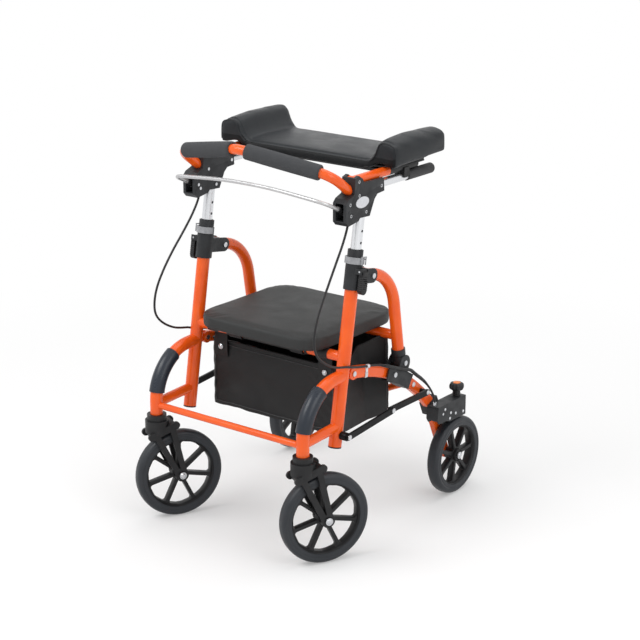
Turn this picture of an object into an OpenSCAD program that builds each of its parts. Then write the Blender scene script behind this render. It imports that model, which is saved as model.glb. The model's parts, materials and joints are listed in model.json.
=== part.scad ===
// Upright walker: a four-wheeled walking frame with a forearm pad, a seat and a bag.
// The front faces -Y, +X is the user's left, and the floor is z = 0.

/* [Stance] */
// Castor stem to rear axle, front to back
wheelbase = 525; // [505:5:545]
// Between the centrelines of the two posts
post_gap = 408; // [396:2:440]
// From a post's plane out to the middle of its rear wheel
wheel_out = 27; // [26.5:0.5:32]

/* [Wheels] */
// Castor tyre diameter
castor_d = 200; // [188:2:202]
// Rear tyre diameter
rear_d = 182; // [172:2:186]
// Width of every tyre
tyre_w = 30; // [26:1:31]
// Depth of a tyre from tread to rim
tyre_t = 20; // [16:1:24]
// Corner radius of a tyre's section
tyre_round = 9; // [4:0.5:11]
// Thickness of the rim under the tyre
rim_t = 5; // [3:0.5:7]
// Spokes in a wheel
spokes = 7; // [5:1:9]
// Width of a spoke
spoke_w = 7; // [5:0.5:9]
// Hub diameter
hub_d = 30; // [24:1:36]
// Axle diameter
axle_d = 8; // [6:0.5:10]

/* [Castor forks] */
// Trail of a castor's wheel behind its stem
trail = 48; // [42:1:54]
// Turn of the castors as they stand, in degrees
castor_turn = 27; // [0:1:40]
// Clearance between a tyre and its fork
fork_gap = 3; // [2:0.5:5]
// Thickness of a fork's side plates
fork_plate = 6; // [4:0.5:8]
// Diameter of a fork's head
fork_head_d = 52; // [46:1:56]
// Diameter of the neck above the head
fork_neck_d = 43; // [36:1:45]
// Diameter of the pin that turns in the stem
castor_pin_d = 12; // [10:0.5:14]

/* [Front frame] */
// Height of the lower end of a castor stem
stem_z = 246; // [242:1:254]
// Distance of a post's foot behind the castor stem
post_set = 109; // [104:1:114]
// Height of a post's foot
post_z = 234; // [228:1:240]
// Rearward lean of the posts, in degrees
post_lean = 9.6; // [8:0.2:11]
// Length of a post
post_len = 420; // [404:2:436]
// Post diameter
post_d = 28.6; // [27:0.2:30]
// Wall of a post
post_wall = 1.6; // [1.2:0.1:2]
// Diameter of the front arcs
arc_d = 28; // [25:0.5:29]
// Bend radius of the front arcs
arc_r = 110; // [100:2:112]
// Height of the corner that an arc is bent round
arc_corner_z = 376; // [370:1:380]
// Where an arc meets its post, along the post
arc_s = 152; // [148:1:160]
// Diameter of the lower braces
brace_d = 22; // [18:1:24]
// Height of a brace at the stem
brace_z = 270; // [264:1:280]
// Rise of a brace from stem to post
brace_rise = 6; // [0:1:12]
// Diameter of the front crossbar
crossbar_d = 15; // [12:1:18]
// Height of the front crossbar
crossbar_z = 267; // [262:1:290]
// Wall of the rubber bumper sleeves
bumper_t = 3; // [2:0.5:5]

/* [Rear frame] */
// Height of the flat-sided arch tube
arch_h = 26; // [24:1:28]
// Width of the arch tube
arch_w = 20; // [18:1:22]
// Radius of the arch
arch_r = 480; // [470:5:490]
// Where the arch hinges on its post, along the post
pivot_s = 155; // [150:1:158]
// Slope of the arch at its front end, in degrees
arch_start = 7.1; // [6:0.5:9]
// Slope of the arch where it turns down into the leg, in degrees
arch_end = 46; // [45:0.5:47]
// Bend radius of the knee in the leg
knee_r = 110; // [80:5:120]
// Diameter of the hinge pins and bolts
pin_d = 6; // [5:0.5:7]
// Diameter of the bowed rear crossbar
bow_d = 16; // [12:1:18]
// Drop of the bow in its middle
bow_drop = 32; // [20:1:36]

/* [Canes and collars] */
// Cane diameter
cane_d = 26; // [24:0.5:27]
// Bend radius of a cane
cane_r = 100; // [85:1:106]
// Straight run from the upper pivot to the corner of a cane
cane_run = 92; // [88:1:97]
// Fall of that run, in degrees
cane_fall = 12; // [8:1:16]
// Height of a cane's lower pivot over the arch
saddle_rise = 32; // [31:0.5:34]
// Where the saddle sits on the arch, in degrees round the arch
saddle_angle = 27.7; // [27:0.1:28.5]
// Thickness of the saddle's cheeks
saddle_t = 3; // [2.5:0.5:4]
// Outer diameter of a collar
collar_d = 36; // [34.5:0.5:38]
// Length of a collar
collar_len = 84; // [78:1:88]
// Distance of a cane's upper pivot behind the post
lug_out = 48; // [46:0.5:52]
// Distance of a cane's upper pivot over the collar's lower end
lug_up = 29; // [24:1:34]
// Height of the clamp band
band_h = 14; // [10:1:18]
// Thickness of the clamp band
band_t = 3; // [2:0.5:4]
// Length of the toggle lever
lever_len = 48; // [44:1:56]
// Width of the toggle lever
lever_w = 19; // [14:1:22]

/* [Stays] */
// Height of the stay's bolt along the post
stay_s = 26; // [22:1:30]
// Angle round the arch at which the stay meets the leg, in degrees
stay_angle = 40; // [39:0.5:41]
// Depth of a stay link
link_w = 14; // [12:1:18]
// Thickness of a stay link
link_t = 5; // [3:0.5:6]
// Distance from the post's plane out to the rear link
link_out = 25; // [24.5:0.5:28]

/* [Brakes] */
// Length of a brake housing
housing_l = 114; // [106:1:118]
// Height of a brake housing
housing_h = 46; // [42:1:52]
// Wall of a brake housing
housing_t = 3; // [2:0.5:4]
// Clearance of a brake housing over the tyre
housing_gap = 3; // [2.5:0.5:6]
// Clearance of a brake shoe over the tyre
shoe_gap = 2.2; // [2:0.1:2.4]
// Knob diameter
knob_d = 34; // [28:1:38]
// Knob height
knob_h = 13; // [10:1:16]
// Diameter of the brake loop's rod
loop_d = 8; // [6:0.5:9]
// Diameter of the brake cables
cable_d = 5; // [4:0.5:5]

/* [Handles] */
// Diameter of the height tubes
tube_d = 23; // [21:0.5:24]
// Wall of the height tubes
tube_wall = 1.5; // [1:0.1:2]
// Height of a bracket's foot along the post
bracket_s = 484; // [478:1:500]
// Length of a handle bracket, front to back
bracket_l = 132; // [126:1:140]
// Height of a handle bracket
bracket_h = 105; // [101:1:110]
// Width of a handle bracket over both shells
bracket_w = 34; // [31:1:38]
// Handlebar diameter
handle_d = 21; // [19:0.5:22]
// Reach of the handlebar to its corners
handle_reach = 78; // [72:1:84]
// Rise of the handlebar to its corners
handle_rise = 56; // [52:1:60]
// Further reach of the handlebar to its middle
mid_reach = 49; // [40:1:56]
// Further rise of the handlebar to its middle
mid_rise = 37; // [32:1:44]
// Foam grip diameter
foam_d = 33; // [28:1:36]
// Push tube diameter
push_d = 19; // [17:0.5:20]
// Length of a push tube
push_len = 230; // [215:1:240]
// Push grip diameter
grip_d = 23; // [21:0.5:25]
// Length of a push grip
grip_len = 97; // [84:1:100]

/* [Forearm pad] */
// Pad width over both wings
pad_w = 480; // [460:2:490]
// Pad depth, front to back
pad_l = 192; // [180:2:200]
// Pad thickness between the wings
pad_t = 20; // [17:1:26]
// Height of the wings over the pad's middle
wing_rise = 48; // [40:1:56]
// Distance of the pad's front edge behind the rail hinge
pad_set = 98; // [90:1:104]
// Pad rail diameter
rail_d = 20; // [18:0.5:20.5]
// Pad rail length
rail_len = 220; // [200:2:240]
// Pad board thickness
board_t = 7; // [5:0.5:9]

/* [Seat] */
// Seat width
seat_w = 332; // [310:2:340]
// Seat depth, front to back
seat_l = 310; // [296:2:316]
// Cushion thickness at its edge
seat_t = 31; // [22:1:36]
// Crown of the cushion
seat_crown = 5; // [0:0.5:10]
// Thickness of the seat board
seat_board_t = 6; // [4:0.5:9]
// Seat rail diameter
seat_rail_d = 22; // [20:1:24]
// Where the front seat rail meets the posts, along the post
seat_s = 191; // [186:1:196]
// Overhang of the seat in front of its rail
seat_nose = 58; // [48:1:62]

/* [Bag] */
// Gap between the bag and the arches
bag_side_gap = 18; // [14:1:40]
// Bag depth, front to back
bag_l = 194; // [180:2:196]
// Bag height
bag_h = 160; // [140:2:166]
// Thickness of the bag's walls
bag_t = 3; // [2:0.5:4]

/* [Hidden] */
round_fn = 48;
bend_fn = 360;
$fn = round_fn;
// Overrun of every cut past the face it opens
over = 2;
// Clearance of pieces that move past each other
swing_gap = 0.7;
// Clearance of pieces that slide on each other
slide_gap = 0.3;
// The round eyes at the ends of a bar stand a little proud of it
eye_swell = 0.3;
eye_half = cane_d / 2 + eye_swell;
// Clearance of fixed pieces in their seats
seat_gap = 0.05;
// Running clearance of a pin in its bore
run_gap = 0.05;
// Thickness of the heads of pins and axles
pin_head_t = 2;
// Shortest run that is drawn between two bends
min_run = 0.01;

// Places
front_reach = (castor_d / 2 - tyre_round - trail) * cos(castor_turn)
    + (tyre_w / 2 - tyre_round) * sin(castor_turn) + tyre_round;
stem_y = (front_reach - wheelbase - rear_d / 2) / 2;
castor_side = (castor_d / 2 - tyre_round + trail) * sin(castor_turn)
    + (tyre_w / 2 - tyre_round) * cos(castor_turn) + tyre_round;
rear_side = wheel_out + tyre_w / 2 + slide_gap + pin_head_t;
mid_x = (rear_side - max(castor_side, rear_side)) / 2;
post_x = post_gap / 2;
post_up = [0, sin(post_lean), cos(post_lean)];
post_back = [0, cos(post_lean), -sin(post_lean)];
post_foot = [post_x, stem_y + post_set, post_z];
arch_pivot = on_post(pivot_s, post_d / 2 + swing_gap + arch_h / 2);
arch_centre = arch_pivot - arch_r * [0, sin(arch_start), cos(arch_start)];
arch_corner = arch_pivot
    + arch_r * tan((arch_end - arch_start) / 2) * [0, cos(arch_start), -sin(arch_start)];
knee_run = 23;
knee = on_arch(arch_end) + knee_run * [0, cos(arch_end), -sin(arch_end)];
rear_axle = [post_x, stem_y + wheelbase, rear_d / 2];
collar_s = post_len - collar_len;
cane_top = on_post(collar_s + lug_up, lug_out);
cane_corner = cane_top + cane_run * [0, cos(cane_fall), -sin(cane_fall)];
cane_foot = on_arch(saddle_angle, saddle_rise);
stay_front = on_post(stay_s);
stay_rear = on_arch(stay_angle);
stay_share = 0.53;
stay_lift = 6;
stay_mid = stay_front + stay_share * (stay_rear - stay_front) + [0, 0, stay_lift];
bracket_ahead = 67;
bracket_drop = 8;
bracket_foot = on_post(bracket_s) - [0, bracket_ahead, bracket_drop];
handle_root_shares = [0.39, 0.56];
handle_root = on_bracket(handle_root_shares);
handle_corner = handle_root + [0, -handle_reach, handle_rise];
handle_mid = [0, handle_corner[1] - mid_reach, handle_corner[2] + mid_rise];
handle_corner_r = 45;
handle_mid_r = 60;
handle_run = unit(handle_corner - handle_root);
push_root_shares = [0.712, 0.667];
push_root = on_bracket(push_root_shares);
rail_hinge_shares = [0.341, 0.876];
rail_hinge = on_bracket(rail_hinge_shares);
lever_pivot_shares = [0.091, 0.324];
lever_pivot = on_bracket(lever_pivot_shares);
front_rail = on_post(seat_s);
rear_rail_drop = 0.885;
rear_rail_share = (front_rail[2] - rear_rail_drop - cane_foot[2]) / (cane_corner[2] - cane_foot[2]);
rear_rail = cane_foot + rear_rail_share * (cane_corner - cane_foot);

function unit(v) = v / norm(v);
function on_post(s, t = 0) = post_foot + s * post_up + t * post_back;
function on_arch(a, rise = 0) = arch_centre + (arch_r + rise) * [0, sin(a), cos(a)];
function on_bracket(share) = bracket_foot + [0, share[0] * bracket_l, share[1] * bracket_h];
function across(v, x) = [x, v[1], v[2]];
function other_side(v) = [-v[0], v[1], v[2]];
function square_to(d, ref) = unit(ref - (ref * d) * d);
function turn_at(p, i) = acos(unit(p[i] - p[i - 1]) * unit(p[i + 1] - p[i]));
function setback(p, radii, i) =
    i == 0 || i == len(p) - 1 ? 0 : radii[i - 1] * tan(turn_at(p, i) / 2);
function smooth(t) = t <= 0 ? 0 : t >= 1 ? 1 : t * t * (3 - 2 * t);

// A shape drawn at o, with its own x and y axes given
module place(o, x, y) {
    z = cross(x, y);
    multmatrix([
        [x[0], y[0], z[0], o[0]],
        [x[1], y[1], z[1], o[1]],
        [x[2], y[2], z[2], o[2]],
        [0, 0, 0, 1]]) children();
}

// A bar of the given section, bent round the corners of a path.
// A thin ring swollen by $swell joins each bend to the straight runs beside it.
module bent_bar(p, radii, ref = [1, 0, 0]) {
    for (i = [0 : len(p) - 2]) {
        d = unit(p[i + 1] - p[i]);
        a = p[i] + setback(p, radii, i) * d;
        run = norm(p[i + 1] - p[i]) - setback(p, radii, i) - setback(p, radii, i + 1);
        side = square_to(d, ref);
        if (run > min_run) place(a, cross(side, d), side) linear_extrude(run) let ($swell = 0) children();
    }
    for (i = [1 : len(p) - 2]) {
        u = unit(p[i] - p[i - 1]);
        v = unit(p[i + 1] - p[i]);
        m = square_to(u, v);
        r = radii[i - 1];
        back = setback(p, radii, i);
        start = p[i] - back * u;
        place(start + r * m, -m, u) rotate_extrude(angle = turn_at(p, i), $fn = bend_fn) translate([r, 0])
            let ($swell = 0, $fn = round_fn) children();
        for (d = [u, v]) {
            joint = p[i] + back * (d == u ? -u : v);
            side = square_to(d, ref);
            place(joint - d * ring_w / 2, cross(side, d), side) linear_extrude(ring_w)
                let ($swell = ring_t) children();
        }
    }
}
ring_w = 1;
ring_t = 0.06;

module round_section(d) {
    circle(d = d + 2 * $swell);
}

// A round rod between two points
module rod(a, b, d) {
    axis = unit(b - a);
    side = square_to(axis, abs(axis[0]) > abs(axis[2]) ? [0, 0, 1] : [1, 0, 0]);
    place(a, cross(side, axis), side) cylinder(d = d, h = norm(b - a));
}

// A flat shape drawn in the YZ plane and made thick along X from x0
module side_plate(x0, t) {
    translate([x0, 0, 0]) rotate([90, 0, 90]) linear_extrude(t) children();
}

// A rod along X through the place of v, from x0 to x1
module cross_rod(v, x0, x1, d) {
    translate([x0, v[1], v[2]]) rotate([0, 90, 0]) cylinder(d = d, h = x1 - x0);
}

// A bolt along X with a domed head at each end
module cross_bolt(v, x0, x1, d) {
    cross_rod(v, x0, x1, d);
    cross_rod(v, x0 - d * bolt_head_t_share, x0, d * bolt_head_d_share);
    cross_rod(v, x1, x1 + d * bolt_head_t_share, d * bolt_head_d_share);
}
bolt_head_t_share = 0.5;
bolt_head_d_share = 1.9;

// A bar with round ends, flat in the YZ plane
module link_shape(a, b, w) {
    d = b - a;
    translate([a[1], a[2]]) rotate(atan2(d[2], d[1])) {
        translate([0, -w / 2]) square([norm(d), w]);
        circle(d = w);
        translate([norm(d), 0]) circle(d = w);
    }
}

// A closed skin over rings of points, each drawn the same way round
module loft(rings) {
    n = len(rings[0]);
    last = (len(rings) - 1) * n;
    sides = [for (i = [0 : len(rings) - 2], j = [0 : n - 1])
        let (k = (j + 1) % n, a = i * n, b = a + n)
        each [[a + j, b + k, a + k], [a + j, b + j, b + k]]];
    first_cap = [for (j = [0 : n / 2 - 2]) let (k = n - 1 - j) each [[j, j + 1, k], [j + 1, k - 1, k]]];
    last_cap = [for (f = first_cap) [last + f[2], last + f[1], last + f[0]]];
    polyhedron([for (ring = rings) each ring], concat(sides, first_cap, last_cap));
}

// Points of a smooth curve through a route
function curve(p, steps) = concat([for (i = [0 : len(p) - 2], k = [0 : steps - 1])
    let (a = p[max(i - 1, 0)], b = p[i], c = p[i + 1], d = p[min(i + 2, len(p) - 1)], t = k / steps)
    b + t * (c - a) / 2 + t * t * (2 * a - 5 * b + 4 * c - d) / 2
        + t * t * t * (3 * b - a - 3 * c + d) / 2], [p[len(p) - 1]]);

// A round cable swept along a route
module cable(route, d, sides, steps) {
    p = curve(route, steps);
    n = len(p);
    loft([for (i = [0 : n - 1])
        let (t = unit(p[min(i + 1, n - 1)] - p[max(i - 1, 0)]), x = square_to(t, [1, 0, 0]), y = cross(t, x))
        [for (j = [0 : sides - 1]) p[i] + d / 2 * (cos(360 * j / sides) * x + sin(360 * j / sides) * y)]]);
}

// The turned castors reach out further on one side, so the middle plane lies beside x = 0
module centred() {
    translate([mid_x, 0, 0]) children();
}

module pair() {
    children();
    mirror([1, 0, 0]) children();
}

module on_side(side) {
    if (side > 0) children();
    else mirror([1, 0, 0]) children();
}

module at_post(s) {
    place(on_post(s), [1, 0, 0], post_back) children();
}

// Front frame
plug_h = 6;
hinge_tongue_t = 8;
hinge_tongue_d = 20;
hinge_tongue_h = 16;
module post(side) {
    inner_d = post_d - 2 * post_wall;
    color("orangered") centred() on_side(side) difference() {
        union() {
            at_post(0) cylinder(d = post_d, h = post_len);
            translate([post_x - hinge_tongue_t / 2, 0, 0]) side_plate(0, hinge_tongue_t)
                link_shape(arch_pivot - (arch_h / 2 + post_d / 2) * post_back, arch_pivot, hinge_tongue_h);
            cross_rod(arch_pivot, post_x - hinge_tongue_t / 2, post_x + hinge_tongue_t / 2, hinge_tongue_d);
        }
        at_post(-over) cylinder(d = inner_d, h = post_len + 2 * over);
        cross_rod(arch_pivot, post_x - hinge_tongue_t, post_x + hinge_tongue_t, pin_d + 2 * seat_gap);
    }
}

// Plugs in the feet of the posts and bushes in their upper ends
bush_h = 40;
module post_plugs() {
    inner_d = post_d - 2 * post_wall - 2 * seat_gap;
    color("black") centred() pair() {
        at_post(0) cylinder(d = inner_d, h = plug_h);
        at_post(-plug_h / 2) cylinder(d = post_d, h = plug_h / 2);
        at_post(post_len - bush_h) difference() {
            cylinder(d = inner_d, h = bush_h);
            translate([0, 0, -over]) cylinder(d = tube_d + 2 * slide_gap, h = bush_h + 2 * over);
        }
    }
}

pin_depth = 42;
arc_path = [[post_x, stem_y, stem_z], [post_x, stem_y, arc_corner_z], on_post(arc_s)];
module arc_tube() {
    bent_bar(arc_path, [arc_r]) round_section(arc_d);
}
module front_arc(side) {
    color("orangered") centred() on_side(side) difference() {
        arc_tube();
        at_post(0) cylinder(d = post_d, h = post_len);
        translate(arc_path[0] - [0, 0, over])
            cylinder(d = castor_pin_d + 2 * run_gap, h = pin_depth + over);
    }
}

brace_front = [post_x, stem_y, brace_z];
brace_rear = on_post((brace_z + brace_rise - post_z) / cos(post_lean));
module lower_braces() {
    color("orangered") centred() pair() difference() {
        rod(brace_front, brace_rear, brace_d);
        at_post(0) cylinder(d = post_d, h = post_len);
        arc_tube();
    }
}

module front_crossbar() {
    color("orangered") centred() difference() {
        cross_rod([0, stem_y, crossbar_z], -post_x, post_x, crossbar_d);
        pair() {
            translate([post_x, stem_y, stem_z]) cylinder(d = arc_d, h = arc_corner_z - stem_z);
            rod(brace_front, brace_rear, brace_d + 2 * seat_gap);
        }
    }
}

module seat_rail_front() {
    color("orangered") centred() difference() {
        cross_rod(front_rail, -post_x, post_x, seat_rail_d);
        pair() at_post(0) cylinder(d = post_d, h = post_len);
    }
}

// Rubber sleeves over the bends of the front arcs
bumper_low_share = 0.14;
bumper_high_share = 0.71;
module bumper_sleeves() {
    bend = turn_at(arc_path, 1);
    start = arc_path[1] - [0, 0, setback(arc_path, [arc_r], 1)];
    ahead = square_to([0, 0, 1], unit(arc_path[2] - arc_path[1]));
    color("#202830") centred() pair() place(start + arc_r * ahead, -ahead, [0, 0, 1])
        rotate([0, 0, bumper_low_share * bend])
        rotate_extrude(angle = bend * (bumper_high_share - bumper_low_share)) translate([arc_r, 0])
        difference() {
            circle(d = arc_d + 2 * bumper_t);
            circle(d = arc_d + 2 * seat_gap);
        }
}

// Pins that the arches and the stays turn on
module post_pins() {
    x0 = post_x - arch_w / 2 - slide_gap;
    x1 = post_x + arch_w / 2 + slide_gap;
    x2 = front_link_x + link_t + slide_gap;
    color("silver") centred() pair() {
        cross_rod(arch_pivot, x0, x1, pin_d);
        cross_rod(arch_pivot, x0 - pin_head_t, x0, pin_d * bolt_head_d_share);
        cross_rod(arch_pivot, x1, x1 + pin_head_t, pin_d * bolt_head_d_share);
        difference() {
            cross_rod(stay_front, post_x, x2, pin_d);
            at_post(0) cylinder(d = post_d, h = post_len);
        }
        cross_rod(stay_front, x2, x2 + pin_head_t, pin_d * bolt_head_d_share);
    }
}

// Rear frame
arch_round_share = 0.3;
module arch_section(grow) {
    w = arch_w + 2 * grow + 2 * $swell;
    h = arch_h + 2 * grow + 2 * $swell;
    r = arch_round_share * arch_w;
    square([h - 2 * r, w], center = true);
    square([h, w - 2 * r], center = true);
    for (i = [-1, 1], j = [-1, 1]) translate([i * (h / 2 - r), j * (w / 2 - r)]) circle(r = r);
}

module rear_leg_bar(grow) {
    bent_bar([arch_pivot, arch_corner, knee, rear_axle], [arch_r, knee_r]) arch_section(grow);
}

module rear_arch(side) {
    slot_w = hinge_tongue_t + 2 * slide_gap;
    color("orangered") centred() on_side(side) difference() {
        union() {
            rear_leg_bar(0);
            for (v = [arch_pivot, rear_axle])
                cross_rod(v, post_x - arch_w / 2 + eye_swell, post_x + arch_w / 2 - eye_swell,
                    arch_h + 2 * eye_swell);
        }
        cross_rod(arch_pivot, post_x - slot_w / 2, post_x + slot_w / 2, hinge_tongue_d + 2 * swing_gap);
        translate([post_x - slot_w / 2, arch_pivot[1] - arch_h, arch_pivot[2] - arch_h])
            cube([slot_w, arch_h, 2 * arch_h]);
        cross_rod(arch_pivot, post_x - arch_w, post_x + arch_w, pin_d + 2 * run_gap);
        cross_rod(rear_axle, post_x - arch_w, post_x + arch_w, axle_d + 2 * seat_gap);
        for (v = leg_bolts) cross_rod(v, post_x - arch_w, post_x + arch_w, pin_d + 2 * seat_gap);
    }
}

bow_angle = 35.5;
saddle_bolt_angle = 24.4;
leg_bolts = [on_arch(bow_angle), on_arch(saddle_bolt_angle)];
saddle_start_angle = 21.5;
saddle_end_angle = 32.8;
saddle_wrap = 4;
saddle_top_d = 36;
fold_angle = 34;
module saddle_shape() {
    a0 = saddle_start_angle;
    a1 = saddle_end_angle;
    reach = 2 * arch_r;
    half = saddle_top_d / 2;
    translate([arch_centre[1], arch_centre[2]]) {
        intersection() {
            difference() {
                circle(r = arch_r + arch_h / 2 + saddle_wrap, $fn = 360);
                circle(r = arch_r - arch_h / 2 - saddle_wrap, $fn = 360);
            }
            polygon([[0, 0], reach * [sin(a0), cos(a0)], reach * [sin(a1), cos(a1)]]);
        }
        rotate(-saddle_angle) {
            translate([-half, arch_r]) square([2 * half, saddle_rise]);
            translate([0, arch_r + saddle_rise]) circle(r = half);
        }
    }
}

// The cane stands in the saddle, turns forward in it and shifts a little as the frame folds
saddle_slack = 8.5;
module saddle_opening() {
    ahead = 3 * cane_d;
    swing_d = cane_d + 2 * swing_gap;
    translate([cane_foot[1], cane_foot[2]]) {
        circle(d = swing_d);
        translate([-saddle_slack, 0]) circle(d = swing_d);
        translate([-saddle_slack, -swing_d / 2]) square([saddle_slack, swing_d]);
        for (a = [0, fold_angle]) rotate(a) translate([-ahead, 0]) square([ahead + swing_d / 2, ahead]);
    }
}

module saddles() {
    half = eye_half + slide_gap + saddle_t;
    color("#26282a") centred() pair() difference() {
        side_plate(post_x - half, 2 * half) saddle_shape();
        rear_leg_bar(seat_gap);
        side_plate(post_x - eye_half - slide_gap, 2 * (eye_half + slide_gap)) saddle_opening();
        cross_rod(leg_bolts[1], post_x - 2 * half, post_x + 2 * half, pin_d + 2 * seat_gap);
        for (x = [post_x - half, post_x + half])
            cross_rod(cane_foot, x - saddle_t, x + saddle_t, pin_d + 2 * seat_gap);
    }
}

bow_flat = 125;
bow_r = 120;
module rear_crossbar() {
    face = post_x - arch_w / 2;
    corner = across(leg_bolts[0], bow_flat) - [0, 0, bow_drop];
    seat = across(leg_bolts[0], face);
    end = seat + arch_w / 2 * unit(seat - corner);
    color("orangered") centred() difference() {
        bent_bar([end, corner, other_side(corner), other_side(end)], [bow_r, bow_r], [0, 1, 0])
            round_section(bow_d);
        pair() {
            cross_rod(leg_bolts[0], face - arch_w, post_x, pin_d + 2 * seat_gap);
            translate([face - seat_gap, seat[1] - bow_d, seat[2] - bow_d])
                cube([arch_w, 2 * bow_d, 2 * bow_d]);
        }
    }
}

// Bolts of the rear frame, the shoe pins and the axles
crossbar_grip = 8;
module rear_bolts() {
    half = eye_half + slide_gap + saddle_t;
    head_d = pin_d * bolt_head_d_share;
    axle_head_d = axle_d * bolt_head_d_share;
    tip = post_x + wheel_out + tyre_w / 2 + slide_gap;
    color("silver") centred() pair() {
        cross_rod(leg_bolts[0], post_x - arch_w / 2 - crossbar_grip, post_x + arch_w / 2, pin_d);
        cross_rod(leg_bolts[0], post_x + arch_w / 2, post_x + arch_w / 2 + pin_head_t, head_d);
        cross_bolt(leg_bolts[1], post_x - half, post_x + half, pin_d);
        for (i = [-1, 1]) {
            a = post_x + i * (half - saddle_t);
            b = post_x + i * half;
            c = post_x + i * (half + pin_head_t);
            cross_rod(cane_foot, min(a, b), max(a, b), pin_d);
            cross_rod(cane_foot, min(b, c), max(b, c), head_d);
        }
        cross_rod(shoe_pivot, housing_x + seat_gap, housing_x + housing_w, pin_d);
        cross_rod(rear_axle, post_x - arch_w / 2, tip, axle_d);
        cross_rod(rear_axle, post_x - arch_w / 2 - pin_head_t, post_x - arch_w / 2, axle_head_d);
        cross_rod(rear_axle, tip, tip + pin_head_t, axle_head_d);
    }
}

// Wheels
tread_side_share = 0.5;
module tyre_ring(d) {
    r = tyre_round;
    rotate_extrude() translate([d / 2 - tyre_t, 0]) difference() {
        union() {
            translate([0, -tyre_w / 2]) square([tyre_t - r, tyre_w]);
            translate([0, -tyre_w / 2 + r]) square([tyre_t, tyre_w - 2 * r]);
            for (i = [-1, 1]) translate([tyre_t - r, i * (tyre_w / 2 - r)]) circle(r = r);
        }
        for (i = [-1, 1]) translate([tyre_t * tread_side_share, i * tyre_w / 2])
            circle(d = groove_w, $fn = 16);
    }
}
groove_w = 1.6;

rim_w_share = 0.8;
spoke_depth_share = 0.55;
spoke_start_share = 0.42;
spoke_turn_share = 0.5;
module rim(d) {
    seat_d = d - 2 * tyre_t - 2 * seat_gap;
    inner_d = seat_d - 2 * rim_t;
    w = tyre_w * rim_w_share;
    depth = tyre_w * spoke_depth_share;
    difference() {
        union() {
            rotate_extrude() translate([inner_d / 2, -w / 2]) square([(seat_d - inner_d) / 2, w]);
            translate([0, 0, -tyre_w / 2]) cylinder(d = hub_d, h = tyre_w);
            for (i = [0 : spokes - 1]) rotate([0, 0, 360 * (i + spoke_turn_share) / spokes])
                translate([hub_d * spoke_start_share, -spoke_w / 2, -depth / 2])
                cube([inner_d / 2 + rim_t / 2 - hub_d * spoke_start_share, spoke_w, depth]);
        }
        translate([0, 0, -tyre_w]) cylinder(d = axle_d + 2 * run_gap, h = 2 * tyre_w);
        for (i = [-1, 1]) translate([0, 0, i * tyre_w / 2]) rotate_extrude()
            translate([(hub_d + axle_d) / 4, 0]) square([(hub_d - axle_d) / 4, hub_dish * 2], center = true);
    }
}
hub_dish = 2;

module at_castor(side) {
    translate([side * post_x, stem_y, 0]) rotate([0, 0, -castor_turn]) children();
}

module at_castor_wheel(side) {
    at_castor(side) translate([0, trail, castor_d / 2]) rotate([0, 90, 0]) children();
}

module at_rear_wheel(side) {
    translate([side * (post_x + wheel_out), rear_axle[1], rear_axle[2]]) rotate([0, 90, 0]) children();
}

module castor_tyre(side) { color("#2b3036") centred() at_castor_wheel(side) tyre_ring(castor_d); }
module castor_rim(side) { color("#151515") centred() at_castor_wheel(side) rim(castor_d); }
module rear_tyre(side) { color("#2b3036") centred() at_rear_wheel(side) tyre_ring(rear_d); }
module rear_rim(side) { color("#151515") centred() at_rear_wheel(side) rim(rear_d); }

// Castor fork: pin, neck, head, a crown square to the legs, and a two-strut plate on each side
neck_h = 13;
crown_h = 16;
crown_gap = 8;
crown_half = 30;
strut_w = 13;
strut_spread = 20;
strut_close = 6;
boss_d = 30;
fork_lean = atan2(trail, stem_z - slide_gap - neck_h - castor_d / 2);
crown_reach = castor_d / 2 + crown_gap;
module fork_crown_shape() {
    translate([-crown_half, crown_reach]) square([2 * crown_half, crown_h]);
}

module fork_plate_shape() {
    crown_mid = crown_reach + crown_h / 2;
    for (i = [-1, 1]) {
        link_shape([0, i * strut_spread, crown_mid], [0, i * strut_close, 0], strut_w);
        translate([i * crown_half, crown_mid]) circle(d = crown_h + ear_swell);
    }
    circle(d = boss_d);
    fork_crown_shape();
}
ear_swell = 1;

module castor_fork(side) {
    inner = tyre_w / 2 + fork_gap;
    head_top = stem_z - slide_gap;
    head_z = castor_d + crown_gap / 2;
    color("#202020") centred() at_castor(side) difference() {
        union() {
            translate([0, trail, castor_d / 2]) rotate([fork_lean, 0, 0]) {
                for (x = [-inner - fork_plate, inner]) side_plate(x, fork_plate) fork_plate_shape();
                side_plate(-inner - over / 2, 2 * inner + over) fork_crown_shape();
            }
            translate([0, 0, head_z]) cylinder(d = fork_head_d, h = head_top - neck_h - head_z);
            translate([0, 0, head_top - neck_h]) cylinder(d = fork_neck_d, h = neck_h);
            translate([0, 0, head_top - over])
                cylinder(d = castor_pin_d, h = pin_depth + over - 2 * slide_gap);
        }
        cross_rod([0, trail, castor_d / 2], -2 * inner, 2 * inner, axle_d + 2 * seat_gap);
    }
    half = inner + fork_plate + seat_gap;
    color("silver") centred() at_castor(side) cross_bolt([0, trail, castor_d / 2], -half, half, axle_d);
}

// Collars, bands and toggles
collar_lug_r = 15.5;
web_gap = 2;
neck_trim = 1.5;
neck_rise = 16;
lug_cheek_t = 4;
lever_drop = 43;
lever_out = 6;
lever_t = 11;
ear_t = 3;
toggle_pin_d = 4;
toggle_s = collar_len - lever_drop;
toggle_x = collar_d / 2 + lever_out;
module lug_shape() {
    circle(r = collar_lug_r);
    translate([-lug_out, -collar_lug_r]) square([lug_out, 2 * collar_lug_r]);
}

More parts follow.
